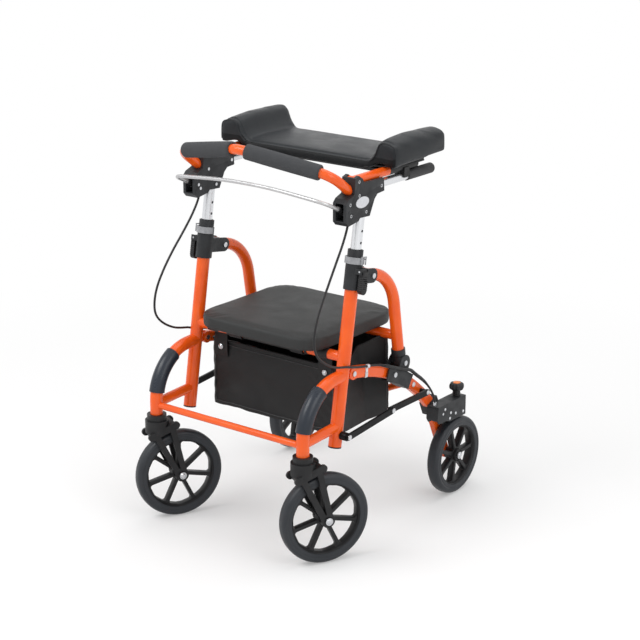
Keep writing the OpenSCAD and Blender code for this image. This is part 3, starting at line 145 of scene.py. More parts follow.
def new_group(name, scale, output):
    """A group that turns a place and a scale into one value: the group, its two inputs and its end."""
    group = bpy.data.node_groups.new(name, "ShaderNodeTree")
    group.interface.new_socket("Place", in_out="INPUT", socket_type="NodeSocketVector")
    group.interface.new_socket("Scale", in_out="INPUT", socket_type="NodeSocketFloat").default_value = scale
    group.interface.new_socket(output, in_out="OUTPUT", socket_type="NodeSocketFloat")
    enter = group.nodes.new("NodeGroupInput").outputs
    where = {"Vector": enter["Place"], "Scale": enter["Scale"]}
    return group, where, group.nodes.new("NodeGroupOutput").inputs[output]


def make_mottle():
    """Slow changes over a surface, as a mask."""
    group, where, leave = new_group("mottle", 20.0, "Mask")
    cloud = node_with(group, "ShaderNodeTexNoise", {**where, "Detail": 4.0})
    spread = node_with(group, "ShaderNodeMapRange",
                       {"Value": cloud.outputs["Fac"], "From Min": 0.32, "From Max": 0.68},
                       interpolation_type="SMOOTHSTEP")
    group.links.new(spread.outputs["Result"], leave)
    return group


def make_grain():
    """Fine moulded or sprayed grain, as a height."""
    group, where, leave = new_group("grain", 900.0, "Height")
    cloud = node_with(group, "ShaderNodeTexNoise", {**where, "Detail": 2.0})
    group.links.new(cloud.outputs["Fac"], leave)
    return group


def make_hide():
    """Pebbled cells of vinyl, as a height."""
    group, where, leave = new_group("hide", 420.0, "Height")
    cells = node_with(group, "ShaderNodeTexVoronoi", where, feature="DISTANCE_TO_EDGE")
    raised = node_with(group, "ShaderNodeMapRange", {"Value": cells.outputs["Distance"], "From Max": 0.18},
                       interpolation_type="SMOOTHSTEP")
    group.links.new(raised.outputs["Result"], leave)
    return group


def make_weave():
    """Plain weave, as a height: threads that run up cross threads that run round, so many to a metre."""
    group, where, leave = new_group("weave", 700.0, "Height")
    split = node_with(group, "ShaderNodeSeparateXYZ", {0: where["Vector"]}).outputs
    turn = math_node(group, "MULTIPLY", where["Scale"], math.tau)
    round_way = math_node(group, "ADD", split["X"], split["Y"])
    warp = math_node(group, "SINE", math_node(group, "MULTIPLY", round_way, turn))
    weft = math_node(group, "SINE", math_node(group, "MULTIPLY", split["Z"], turn))
    crossed = math_node(group, "MULTIPLY", warp, weft)
    group.links.new(math_node(group, "MULTIPLY_ADD", crossed, 0.5, 0.5), leave)
    return group


MOTTLE, GRAIN, HIDE, WEAVE = make_mottle(), make_grain(), make_hide(), make_weave()


# Finishes

COAT_ROUGHNESS = 0.08
RELIEF_STRENGTH = 0.6


def new_finish(name, colour, shade, rough, relief, mottle_scale=25.0, stretch=None, metallic=0.0, coat=0.0,
               sheen=0.0, shine=0.5):
    """A finish whose colour and roughness drift between two values, with a fine relief.

    relief is (group, its scale, depth in metres).
    """
    material = bpy.data.materials.new(name)
    material.use_nodes = True
    tree = material.node_tree
    shader = tree.nodes["Principled BSDF"].inputs
    for label, value in (("Metallic", metallic), ("Specular IOR Level", shine), ("Coat Weight", coat),
                         ("Coat Roughness", COAT_ROUGHNESS), ("Sheen Weight", sheen)):
        shader[label].default_value = value
    place = tree.nodes.new("ShaderNodeTexCoord").outputs["Object"]
    if stretch:
        place = node_with(tree, "ShaderNodeMapping", {"Vector": place, "Scale": stretch}).outputs["Vector"]
    drift = node_with(tree, "ShaderNodeGroup", {"Place": place, "Scale": mottle_scale}, node_tree=MOTTLE)
    mask = drift.outputs["Mask"]
    tint = node_with(tree, "ShaderNodeMix", {"Factor": mask, "A": (*colour, 1), "B": (*shade, 1)},
                     data_type="RGBA")
    gloss = node_with(tree, "ShaderNodeMapRange", {"Value": mask, "To Min": rough[0], "To Max": rough[1]})
    group, scale, depth = relief
    pattern = node_with(tree, "ShaderNodeGroup", {"Place": place, "Scale": scale}, node_tree=group)
    bump = node_with(tree, "ShaderNodeBump", {"Distance": depth, "Strength": RELIEF_STRENGTH,
                                              "Height": pattern.outputs["Height"]})
    tree.links.new(tint.outputs["Result"], shader["Base Color"])
    tree.links.new(gloss.outputs["Result"], shader["Roughness"])
    tree.links.new(bump.outputs["Normal"], shader["Normal"])
    return material


ORANGE_PAINT = new_finish(
    "orange_paint", (0.90, 0.118, 0.009), (0.85, 0.100, 0.008), (0.17, 0.25), (GRAIN, 500.0, 0.00006),
    coat=0.2, shine=0.33)
KNOB_ORANGE = new_finish(
    "knob_orange", (0.86, 0.24, 0.045), (0.80, 0.21, 0.04), (0.35, 0.45), (GRAIN, 900.0, 0.00005),
    mottle_scale=60.0)
DARK_PLASTIC = new_finish(
    "dark_plastic", (0.024, 0.0255, 0.028), (0.018, 0.019, 0.021), (0.42, 0.56), (GRAIN, 1500.0, 0.00012),
    mottle_scale=40.0, shine=0.3)
BLACK_PLASTIC = new_finish(
    "black_plastic", (0.012, 0.012, 0.013), (0.008, 0.008, 0.009), (0.36, 0.5), (GRAIN, 1500.0, 0.0001),
    mottle_scale=40.0, shine=0.3)
FORK_PLASTIC = new_finish(
    "fork_plastic", (0.017, 0.017, 0.018), (0.012, 0.012, 0.013), (0.42, 0.56), (GRAIN, 1300.0, 0.00015),
    mottle_scale=35.0, shine=0.3)
BLACK_STEEL = new_finish(
    "black_steel", (0.010, 0.010, 0.011), (0.007, 0.007, 0.008), (0.28, 0.42), (GRAIN, 800.0, 0.00006),
    shine=0.12)
SILVER_TUBE = new_finish(
    "silver_tube", (0.80, 0.81, 0.83), (0.72, 0.73, 0.75), (0.24, 0.36), (GRAIN, 1200.0, 0.00002),
    stretch=(1, 0.08, 0.08), metallic=1.0)
LOOP_SILVER = new_finish(
    "loop_silver", (0.56, 0.56, 0.56), (0.50, 0.50, 0.51), (0.3, 0.42), (GRAIN, 1200.0, 0.00003),
    stretch=(0.08, 1, 1), metallic=0.7)
BRIGHT_STEEL = new_finish(
    "bright_steel", (0.66, 0.67, 0.69), (0.52, 0.53, 0.55), (0.22, 0.4), (GRAIN, 900.0, 0.00004),
    mottle_scale=120.0, metallic=1.0)
BAND_GREY = new_finish(
    "band_grey", (0.34, 0.345, 0.36), (0.28, 0.285, 0.30), (0.35, 0.5), (GRAIN, 1000.0, 0.00008),
    mottle_scale=80.0)
PLATE_GREY = new_finish(
    "plate_grey", (0.72, 0.73, 0.76), (0.64, 0.65, 0.68), (0.32, 0.45), (GRAIN, 900.0, 0.00004),
    mottle_scale=90.0, metallic=0.35)
TYRE_RUBBER = new_finish(
    "tyre_rubber", (0.017, 0.020, 0.025), (0.024, 0.027, 0.032), (0.38, 0.56), (GRAIN, 900.0, 0.0002),
    mottle_scale=30.0, shine=0.4)
BUMPER_RUBBER = new_finish(
    "bumper_rubber", (0.017, 0.023, 0.034), (0.012, 0.017, 0.026), (0.26, 0.4), (GRAIN, 700.0, 0.0001),
    mottle_scale=30.0, shine=0.4)
GRIP_RUBBER = new_finish(
    "grip_rubber", (0.030, 0.030, 0.032), (0.036, 0.036, 0.038), (0.55, 0.7), (GRAIN, 1100.0, 0.0002),
    mottle_scale=40.0, shine=0.4)
GRIP_FOAM = new_finish(
    "grip_foam", (0.050, 0.052, 0.056), (0.060, 0.062, 0.066), (0.82, 0.95), (HIDE, 900.0, 0.00025),
    mottle_scale=60.0, shine=0.35)
PAD_VINYL = new_finish(
    "pad_vinyl", (0.0100, 0.0122, 0.0148), (0.0138, 0.0162, 0.0190), (0.28, 0.40), (HIDE, 620.0, 0.00022),
    mottle_scale=18.0, shine=0.24)
# Painted shade: a darker copy of the pad vinyl for the pad's lower front, which faces forward into shade
PAD_PAINTED_SHADE = new_finish(
    "pad_painted_shade", (0.0035, 0.0042, 0.0050), (0.0060, 0.0070, 0.0080), (0.28, 0.42), (HIDE, 620.0, 0.00022),
    mottle_scale=30.0, shine=0.16)
SEAT_VINYL = new_finish(
    "seat_vinyl", (0.019, 0.020, 0.020), (0.024, 0.025, 0.025), (0.46, 0.58), (HIDE, 900.0, 0.00016),
    mottle_scale=14.0, shine=0.36)
BAG_NYLON = new_finish(
    "bag_nylon", (0.0075, 0.0075, 0.008), (0.011, 0.011, 0.0115), (0.38, 0.52), (WEAVE, 650.0, 0.0002),
    mottle_scale=16.0, sheen=0.05, shine=0.28)
SEAM_THREAD = new_finish(
    "seam_thread", (0.060, 0.061, 0.063), (0.045, 0.046, 0.048), (0.6, 0.75), (GRAIN, 2500.0, 0.0002),
    mottle_scale=200.0)
CABLE_JACKET = new_finish(
    "cable_jacket", (0.009, 0.009, 0.010), (0.012, 0.012, 0.013), (0.35, 0.5), (GRAIN, 1800.0, 0.0001),
    mottle_scale=60.0, shine=0.35)

NODE_FINISHES = [
    (ORANGE_PAINT, "post_left post_right front_arc_left front_arc_right lower_braces front_crossbar "
                   "seat_rail_front rear_arch_left rear_arch_right rear_crossbar cane_left cane_right "
                   "seat_rail_rear handlebar pad_rails"),
    (DARK_PLASTIC, "saddles brake_housings collar_left collar_right bracket_outer_shells "
                   "bracket_inner_shells"),
    (FORK_PLASTIC, "castor_fork_left castor_fork_right"),
    (BLACK_PLASTIC, "post_plugs latch_lever_left latch_lever_right castor_rim_left castor_rim_right "
                    "rear_rim_left rear_rim_right drag_knob_left drag_knob_right brake_levers pad_board "
                    "seat_board"),
    (BLACK_STEEL, "stay_fronts stay_rears"),
    (SILVER_TUBE, "height_tubes push_tubes"),
    (LOOP_SILVER, "brake_loop"),
    (BRIGHT_STEEL, "post_pins rear_bolts lug_bolts stay_bolts bracket_screws cable_guides"),
    (BAND_GREY, "clamp_bands"),
    (TYRE_RUBBER, "castor_tyre_left castor_tyre_right rear_tyre_left rear_tyre_right brake_shoes"),
    (BUMPER_RUBBER, "bumper_sleeves"),
    (GRIP_RUBBER, "push_grips"),
]


def dress_nodes():
    for finish, names in NODE_FINISHES:
        for name in names.split():
            node = frame["nodes"][name]
            if not node.data.materials:
                node.data.materials.append(finish)
            for slot in node.material_slots:
                slot.material = finish


# Making pieces

# How far an edge turns, in radians, before it stays crisp
TUBE_SHARP = 0.6
CLOTH_SHARP = 0.9
# Steps round a turned piece
BOLT_STEPS = 28
SLEEVE_STEPS = 40
TUBE_RESOLUTION = 3
UPRIGHT_RISE = 0.01
# Points nearer than this are one point
CAD_GAP = 1e-5
TURNED_GAP = 1e-6
TUBE_GAP = 1e-7


def new_object(name, data):
    thing = bpy.data.objects.new(name, data)
    bpy.context.scene.collection.objects.link(thing)
    return thing


def mesh_from(name, shape):
    """A mesh of the bmesh, which is used up."""
    mesh = bpy.data.meshes.new(name)
    shape.to_mesh(mesh)
    shape.free()
    return mesh


def shape_from(mesh):
    shape = bmesh.new()
    shape.from_mesh(mesh)
    return shape


def new_piece(name, shape, finishes, body, replaced=(), sharp=0.7):
    """An object from a bmesh, riding on a body of the frame. Edges that turn more than sharp stay crisp."""
    mesh = mesh_from(name, shape)
    for finish in finishes if isinstance(finishes, list) else [finishes]:
        mesh.materials.append(finish)
    mesh.shade_smooth()
    mesh.set_sharp_from_angle(angle=sharp)
    piece = new_object(name, mesh)
    if body:
        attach(piece, body)
    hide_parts(*replaced)
    return piece


def joined(shape, other, finish=0):
    """Adds another bmesh, which is used up, in one of the piece's finishes."""
    for face in other.faces:
        face.material_index = finish
    mesh = mesh_from("added", other)
    shape.from_mesh(mesh)
    bpy.data.meshes.remove(mesh)


def copied_mesh(node, gap=CAD_GAP):
    """A CAD node's mesh, with its loose triangles joined."""
    shape = shape_from(frame["nodes"][node].data)
    bmesh.ops.remove_doubles(shape, verts=shape.verts, dist=gap)
    return shape


def merged(shape, gap=TURNED_GAP):
    """Closes the seams and poles, then turns the faces outwards."""
    bmesh.ops.remove_doubles(shape, verts=shape.verts, dist=gap)
    bmesh.ops.recalc_face_normals(shape, faces=shape.faces)
    return shape


def put(shape, move):
    bmesh.ops.transform(shape, matrix=move, verts=shape.verts)
    return shape


def aimed(place, axis):
    """The move that takes the origin to a place and Z to an axis."""
    turn = Vector((0, 0, 1)).rotation_difference(Vector(axis))
    return Matrix.Translation(place) @ turn.to_matrix().to_4x4()


def turned(outline, steps=BOLT_STEPS):
    """A bmesh of revolution about Z of (radius, height) points."""
    shape = bmesh.new()
    verts = [shape.verts.new((r, 0, z)) for r, z in outline]
    edges = [shape.edges.new(pair) for pair in zip(verts, verts[1:])]
    bmesh.ops.spin(shape, geom=verts + edges, cent=(0, 0, 0), axis=(0, 0, 1), angle=math.tau, steps=steps,
                   use_merge=True)
    return merged(shape)


def looped(outline):
    return outline + outline[:1]


def block(size):
    shape = bmesh.new()
    bmesh.ops.create_cube(shape, size=1)
    bmesh.ops.scale(shape, vec=size, verts=shape.verts)
    return shape


def stands(edge):
    return abs(edge.verts[0].co.z - edge.verts[1].co.z) > UPRIGHT_RISE


def bevelled(shape, edges, width, segments):
    bmesh.ops.bevel(shape, geom=edges, offset=width, segments=segments, profile=0.5, affect="EDGES",
                    material=-1)


def drawn_out(shape, made, way):
    """Moves the points that an extrusion made."""
    bmesh.ops.translate(shape, vec=way, verts=[g for g in made["geom"] if isinstance(g, bmesh.types.BMVert)])


def smooth_route(points, steps):
    """The same curve through the points as the CAD route."""
    route = []
    for i in range(len(points) - 1):
        a, b, c, d = (Vector(points[min(max(k, 0), len(points) - 1)]) for k in range(i - 1, i + 3))
        for k in range(steps):
            t = k / steps
            route.append(b + t * (c - a) / 2 + t * t * (2 * a - 5 * b + 4 * c - d) / 2
                         + t ** 3 * (3 * b - a - 3 * c + d) / 2)
    return route + [Vector(points[-1])]


def tube_mesh(route, radius, closed=False):
    """A bmesh tube along a route; radius is one value or one for each point."""
    line = bpy.data.curves.new("route", "CURVE")
    line.dimensions = "3D"
    line.bevel_resolution = TUBE_RESOLUTION
    line.bevel_depth = 1.0
    line.use_fill_caps = not closed
    spline = line.splines.new("POLY")
    spline.points.add(len(route) - 1)
    spline.use_cyclic_u = closed
    for i, (point, place) in enumerate(zip(spline.points, route)):
        point.co = (*place, 1)
        point.radius = radius[i] if isinstance(radius, list) else radius
    holder = new_object("route", line)
    mesh = bpy.data.meshes.new_from_object(holder.evaluated_get(bpy.context.evaluated_depsgraph_get()))
    shape = shape_from(mesh)
    bpy.data.objects.remove(holder)
    bpy.data.curves.remove(line)
    bpy.data.meshes.remove(mesh)
    return merged(shape, TUBE_GAP)


# Moulded nodes, with their edges rounded over

FLAT_WITHIN = math.radians(1)
MOULDED_EDGE = math.radians(40)
MOULDED_SHARP = math.radians(50)
MOULDED_NODES = [
    (0.0009, DARK_PLASTIC, "bracket_outer_shells bracket_inner_shells saddles brake_housings collar_left "
                           "collar_right"),
    (0.0007, BLACK_PLASTIC, "latch_lever_left latch_lever_right"),
]


def make_moulded():
    for width, finish, names in MOULDED_NODES:
        for node in names.split():
            source = frame["nodes"][node]
            shape = copied_mesh(node, TURNED_GAP)
            bmesh.ops.dissolve_limit(shape, angle_limit=FLAT_WITHIN, verts=shape.verts, edges=shape.edges)
            piece = new_piece(node + "_moulded", shape, finish, body_of(source)[0],
                              [node], sharp=MOULDED_SHARP)
            edge = piece.modifiers.new("rounded_edges", "BEVEL")
            edge.width = width
            edge.segments = 2
            edge.limit_method = "ANGLE"
            edge.angle_limit = MOULDED_EDGE
            edge.use_clamp_overlap = True
            edge.harden_normals = True


# Cables, their boots and clips

CABLE_D = 0.005
ROUTE_STEPS = 6
UPPER_ROUTE = [
    (-1, 154, 716), (-1, 152, 704), (0, 143, 686), (2, 127, 662), (5, 103, 632), (9, 75, 598), (12, 47, 560),
    (14, 27, 524), (15, 19, 490), (16, 25, 462), (17, 49, 438), (17.5, 85, 419), (17.5, 125, 409)]
LOWER_ROUTE = [
    (17.5, -37, 26.9), (17.5, -18, 21), (15, 10, 13.5), (13, 44, 6), (14, 79, -1), (18, 106, -10),
    (20.5, 132, -20), (20.5, 162, -32), (20.5, 192, -42), (21, 212, -57), (21, 244, -81), (22.5, 265, -103),
    (24.5, 278, -124), (25.5, 284.4, -142.6)]
# Which steps of the lower route the boot covers, and over how many it swells
BOOT_STEPS = slice(26, 64)
BOOT_TAPER = 5
BOOT_R = 0.0028
BOOT_SWELL = 0.0012
CLIP_STEP = 18
CLIP_RING = [(0.0024, -0.004), (0.0040, -0.004), (0.0044, -0.0036), (0.0044, 0.0036), (0.0040, 0.004),
             (0.0024, 0.004)]
CLIP_STRAP = (0.0014, 0.008, 0.022)


def cable_route(side, start, points):
    """A route of the CAD, in millimetres from its start, as points in the frame."""
    return [on_side(side, start + Vector(p) / 1000) for p in smooth_route(points, ROUTE_STEPS)]


def make_cables():
    for side in SIDES:
        route = cable_route(side, Vector((POST_X, STEM_Y, 0)), UPPER_ROUTE)
        upper = new_piece("cable_upper_" + side, tube_mesh(route, CABLE_D / 2), CABLE_JACKET, None,
                          ["cable_uppers"], sharp=TUBE_SHARP)
        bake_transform(upper, "front_frame", "handles", start=route[-1], end=route[4])
        route = cable_route(side, ARCH_HINGE, LOWER_ROUTE)
        lower = new_piece("cable_lower_" + side, tube_mesh(route, CABLE_D / 2), CABLE_JACKET, None,
                          ["cable_lowers"], sharp=TUBE_SHARP)
        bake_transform(lower, "front_frame", "rear_frame", start=route[0], end=route[14])
        boot = route[BOOT_STEPS]
        last = len(boot) - 1
        swell = [BOOT_R + BOOT_SWELL * min(1, i / BOOT_TAPER, (last - i) / BOOT_TAPER)
                 for i in range(last + 1)]
        new_piece("cable_boot_" + side, tube_mesh(boot, swell), BLACK_PLASTIC, "rear_frame",
                  sharp=TUBE_SHARP)
        at = route[CLIP_STEP]
        clip = put(turned(looped(CLIP_RING)), aimed(at, route[CLIP_STEP + 1] - route[CLIP_STEP - 1]))
        face = on_side(side, (ARCH_FACE_X + CLIP_STRAP[0] / 2, at.y, at.z - CLIP_STRAP[2] / 2))
        joined(clip, put(block(CLIP_STRAP), Matrix.Translation(face)))
        new_piece("cable_clip_" + side, clip, PLATE_GREY, "rear_frame")


# Foam grips on the handlebar

FOAM_D = 0.033
FOAM_BORE_D = 0.0212
FOAM_LIP = (0.0012, 0.001)
FOAM_EDGE = 0.004
FOAM_SWELL = 0.0004
FOAM_STEPS = 12
FOAM_ENDS = [(0.1807, -0.1924, 0.8222), (0.0174, -0.2316, 0.8518)]


def make_foam():
    bore, out = FOAM_BORE_D / 2, FOAM_D / 2
    end = [(bore, FOAM_LIP[1]), (bore + FOAM_LIP[0], 0)]
    end += [(out - FOAM_EDGE * (1 - math.sin(a)), FOAM_EDGE * (1 - math.cos(a)))
            for a in (math.radians(d) for d in range(0, 91, 15))]
    for side in SIDES:
        first, last = (on_side(side, p) for p in FOAM_ENDS)
        run = (last - first).length
        body = [(out + FOAM_SWELL * math.sin(math.pi * t), FOAM_EDGE + t * (run - 2 * FOAM_EDGE))
                for t in (k / FOAM_STEPS for k in range(1, FOAM_STEPS))]
        ring = end + body + [(r, run - z) for r, z in reversed(end)]
        shape = put(turned(ring, SLEEVE_STEPS), aimed(first, last - first))
        foam = new_piece("foam_grip_" + side, shape, GRIP_FOAM, "handles", ["foam_grips"], sharp=1.2)


# Cushions

SIM_FRAMES = 18
HELD_NORMAL_Z = -0.35
COVER_CLOTH = {"vertex_group_mass": "held", "mass": 0.15, "quality": 5, "tension_stiffness": 18,
               "compression_stiffness": 18, "bending_stiffness": 0.6, "use_pressure": True}
ABOVE_ALL_Z = 1.2
STITCH_LENGTH = 0.0042
STITCH_PITCH = 0.0062
STITCH_D = 0.0011


def bake_modifiers(piece):
    bpy.context.view_layer.update()
    baked = bpy.data.meshes.new_from_object(piece.evaluated_get(bpy.context.evaluated_depsgraph_get()))
    old = piece.data
    piece.modifiers.clear()
    piece.data = baked
    bpy.data.meshes.remove(old)


def remeshed(shape, name, size):
    """The bmesh as an even net of small faces, on a new object."""
    piece = new_object(name, mesh_from(name, shape))
    net = piece.modifiers.new("net", "REMESH")
    net.mode = "VOXEL"
    net.voxel_size = size
    bake_modifiers(piece)
    return piece


def swelled(piece, base_z, pressure, cap):
    """Blows the cover up by cloth, held on its underside, and no point moves further than cap."""
    rest = [v.co.copy() for v in piece.data.vertices]
    held = piece.vertex_groups.new(name="held")
    under = [v.index for v in piece.data.vertices if v.co.z < base_z or v.normal.z < HELD_NORMAL_Z]
    held.add(under, 1.0, "REPLACE")
    cloth = piece.modifiers.new("cover", "CLOTH")
    for label, value in COVER_CLOTH.items():
        setattr(cloth.settings, label, value)
    cloth.settings.uniform_pressure_force = pressure
    cloth.settings.effector_weights.gravity = 0
    cloth.collision_settings.use_collision = False
    scene = bpy.context.scene
    for step in range(1, SIM_FRAMES + 1):
        scene.frame_set(step)
    bake_modifiers(piece)
    scene.frame_set(1)
    for vert, was in zip(piece.data.vertices, rest):
        move = vert.co - was
        if move.length > cap:
            vert.co = was + move * (cap / move.length)


def relaxed(piece, rounds):
    shape = shape_from(piece.data)
    for _ in range(rounds):
        bmesh.ops.smooth_vert(shape, verts=shape.verts, factor=0.5, use_axis_x=True, use_axis_y=True,
                              use_axis_z=True)
    shape.to_mesh(piece.data)
    shape.free()


def finer(piece):
    net = piece.modifiers.new("finer", "SUBSURF")
    net.levels = net.render_levels = 1
    bake_modifiers(piece)


def pressed(piece, route, width, depth):
    """Draws a sewn channel into the cover along a route."""
    # The search tree takes faces, so each point of the route stands in it as a speck
    specks = [p for q in route for p in (q, q + Vector((0, 0, 1e-5)), q + Vector((0, 1e-5, 0)))]
    seam = BVHTree.FromPolygons(specks, [(3 * i, 3 * i + 1, 3 * i + 2) for i in range(len(route))])
    normals = [v.normal.copy() for v in piece.data.vertices]
    for vert, normal in zip(piece.data.vertices, normals):
        near = seam.find_nearest(vert.co, 3 * width)
        if near[0] is not None:
            vert.co -= normal * depth * math.exp(-(near[3] / width) ** 2)


def covered(piece, finish, body, node):
    piece.data.materials.clear()
    piece.data.materials.append(finish)
    piece.data.shade_smooth()
    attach(piece, body)
    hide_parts(node)


def surface_of(piece):
    shape = shape_from(piece.data)
    tree = BVHTree.FromBMesh(shape)
    shape.free()
    return tree


def dropped(cover, places, lift=0.0):
    """The points of the cover straight under (x, y) places, lifted off it, and which way it faces there."""
    hits = [cover.ray_cast(Vector((x, y, ABOVE_ALL_Z)), Vector((0, 0, -1))) for x, y in places]
    return [(hit[0] + hit[1] * lift, hit[1]) for hit in hits if hit[0] is not None]


def stitched(name, route, finish, body):
    """Short threads in a row along a route of (point, normal)."""
    shape = bmesh.new()
    walked = 0.0
    due = 0.0
    for (here, up), (there, _) in zip(route, route[1:]):
        gap = (there - here).length
        while due < walked + gap and gap > 1e-9:
            at = here.lerp(there, (due - walked) / gap)
            along = (there - here).normalized()
            across = up.cross(along).normalized()
            turn = Matrix((along, across, up.normalized())).transposed().to_4x4()
            thread = bmesh.ops.create_icosphere(shape, subdivisions=1, radius=0.5)["verts"]
            bmesh.ops.scale(shape, vec=(STITCH_LENGTH, STITCH_D, STITCH_D), verts=thread)
            bmesh.ops.transform(shape, matrix=Matrix.Translation(at) @ turn, verts=thread)
            due += STITCH_PITCH
        walked += gap
    new_piece(name, shape, finish, body, sharp=3.0)


# Forearm pad

PAD_SHRINK = 0.002
PAD_NET = 0.0045
PAD_FOOT = 0.006
PAD_PRESSURE = 3.0
PAD_SWELL = 0.003
PAD_RELAX = (2, 4)
PAD_CLEAR = 0.05
# Height and facing of the pad's lower front that takes the painted shade
PAD_PAINTED_SHADE_TOP = 0.8245
PAD_PAINTED_SHADE_NORMAL_Y = -0.5
PAD_SEAM_IN = 0.013
PAD_SEAM_ENDS = 0.014
PAD_SEAM_STEPS = 96
PAD_SEAM_W = 0.0028
PAD_SEAM_DEPTH = 0.0016
PAD_STITCHES = [("pad_stitches_front", -0.0045), ("pad_stitches_back", 0.0045)]
PAD_STITCH_OUT = 0.0001
WELT_FROM = 0.70
WELT_SPAN = 0.285
WELT_STEPS = 40
WELT_IN = 0.006
WELT_OUT = 0.0004
WELT_R = 0.0014
WELT_FALL = 0.004
WELT_FALLS = 8
WING_FAT = 0.014
WING_LIFT = 0.007
WING_ROUND = 0.011
# Where each change of a wing starts and over what stretch it grows: by height, then by shares of the pad
WING_RISE = (0.820, 0.028)
WING_INNER = (0.55, 0.15)
WING_FADE = (0.86, 0.12)
WING_FRONT = (0.30, 0.65)
WING_OUTER = (0.87, 0.13)


def fuller_wings(pad, low, high):
    """Fattens the pad's wings towards the middle, lifts their fronts and rounds their outer edges."""
    middle = (low.x + high.x) / 2
    half = (high.x - low.x) / 2
    for vert in pad.data.vertices:
        sign = 1 if vert.co.x > middle else -1
        out = abs(vert.co.x - middle) / half
        back = (vert.co.y - low.y) / (high.y - low.y)
        rise = ramp(vert.co.z, *WING_RISE)
        vert.co.x -= sign * WING_FAT * ramp(out, *WING_INNER) * (1 - ramp(out, *WING_FADE))
        vert.co.z += WING_LIFT * rise * (1 - ramp(back, *WING_FRONT))
        vert.co.z -= WING_ROUND * rise * max(0.0, (out - WING_OUTER[0]) / WING_OUTER[1]) ** 2


def pad_welt(cover, middle, half, sign, y):
    """The piping of a wing's front edge: over the top, then down the outside."""
    shares = [WELT_FROM + WELT_SPAN * k / (WELT_STEPS - 1) for k in range(WELT_STEPS)]
    welt = [at for at, _ in dropped(cover, [(middle + sign * u * half, y) for u in shares], WELT_OUT)]
    for _ in range(WELT_FALLS):
        outside = Vector((middle + sign * (half + PAD_CLEAR), y, welt[-1].z - WELT_FALL))
        hit = cover.ray_cast(outside, Vector((-sign, 0, 0)))
        if hit[0] is None:
            break
        welt.append(hit[0] + hit[1] * WELT_OUT)
    return tube_mesh(welt, WELT_R)


def make_pad():
    low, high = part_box("armrest_pad")
    half = (high.x - low.x) / 2
    middle = (high.x + low.x) / 2
    shape = copied_mesh("armrest_pad")
    bmesh.ops.recalc_face_normals(shape, faces=shape.faces)
    for vert in shape.verts:
        vert.co -= vert.normal * PAD_SHRINK
    pad = remeshed(shape, "forearm_pad", PAD_NET)
    fuller_wings(pad, low, high)
    relaxed(pad, PAD_RELAX[0])
    swelled(pad, low.z + PAD_FOOT, PAD_PRESSURE, PAD_SWELL)
    relaxed(pad, PAD_RELAX[1])
    finer(pad)
    shares = [k / PAD_SEAM_STEPS for k in range(-PAD_SEAM_STEPS, PAD_SEAM_STEPS + 1)]
    places = [(middle + u * (half - PAD_SEAM_ENDS), low.y + PAD_SEAM_IN) for u in shares]
    seam = dropped(surface_of(pad), places)
    pressed(pad, [p for p, _ in seam], PAD_SEAM_W, PAD_SEAM_DEPTH)
    covered(pad, PAD_VINYL, "armrest", "armrest_pad")
    # Painted shade: the pad's lower front faces, facing forward below the flat top, take the darker copy of
    # the vinyl
    pad.data.materials.append(PAD_PAINTED_SHADE)
    for face in pad.data.polygons:
        at = face.center
        if at.y < low.y + PAD_SEAM_IN and at.z < PAD_PAINTED_SHADE_TOP and face.normal.y < PAD_PAINTED_SHADE_NORMAL_Y:
            face.material_index = 1
    cover = surface_of(pad)
    for name, offset in PAD_STITCHES:
        row = dropped(cover, [(p.x, p.y + offset) for p, _ in seam], PAD_STITCH_OUT)
        stitched(name, row, SEAM_THREAD, "armrest")
    for side, sign in SIDES.items():
        welt = pad_welt(cover, middle, half, sign, low.y + WELT_IN)
        new_piece("pad_welt_" + side, welt, PAD_VINYL, "armrest", sharp=TUBE_SHARP)


# Seat

SEAT_OUT = 0.001
SEAT_SIDE = 0.0305
SEAT_CORNER = 0.054
SEAT_EDGE = 0.0052
SEAT_FOOT = 0.0060
# Upright edges or level ones, above (1) or below (-1), their radius and segments
SEAT_BEVELS = [(True, 0, SEAT_CORNER, 7), (False, 1, SEAT_EDGE, 4), (False, -1, SEAT_FOOT, 3)]
SEAT_RIM = 0.0135
SEAT_BOARD_T = 0.0062
SEAT_BOARD_GAP = 0.0002
SEAT_NET = 0.0038
SEAT_HELD = 0.003
SEAT_PRESSURE = 1.5
SEAT_SWELL = 0.0022
SEAT_RELAX = 1
SEAT_CROWN = 0.0026
SEAT_CORNER_TURNS = (43, 137, 223, 317)
SEAT_SEAM_LEAN = 4.0
SEAT_SEAM_FOOT = 0.003
SEAT_SEAM_STEP = 0.0014
SEAT_SEAM_STEPS = 20
SEAT_SEAM_W = 0.0016
SEAT_SEAM_DEPTH = 0.0008
SEAT_CLEAR = 0.4


def seat_shape(size):
    """A slab with round corners, soft edges above and below, and a hollow foot that takes the board."""
    shape = block(size)
    for upright, end, radius, segments in SEAT_BEVELS:
        edges = [e for e in shape.edges if stands(e) == upright
                 and (upright or e.verts[0].co.z * end > 0.4 * SEAT_SIDE)]
        bevelled(shape, edges, radius, segments)
    foot = [min(shape.faces, key=lambda f: f.calc_center_median().z)]
    bmesh.ops.inset_individual(shape, faces=foot, thickness=SEAT_RIM - SEAT_FOOT, depth=0)
    bmesh.ops.inset_individual(shape, faces=foot, thickness=SEAT_BOARD_GAP, depth=-SEAT_BOARD_T)
    return shape


def seat_seam(cover, middle, foot, angle):
    """Points up the side of the seat, at one angle about its middle."""
    way = on_circle(1, angle)
    seam = []
    for k in range(SEAT_SEAM_STEPS):
        height = foot + SEAT_SEAM_FOOT + k * SEAT_SEAM_STEP
        hit = cover.ray_cast(Vector((middle.x, middle.y, height)) + way * SEAT_CLEAR, -way)
        if hit[0] is not None:
            seam.append(hit[0])
    return seam


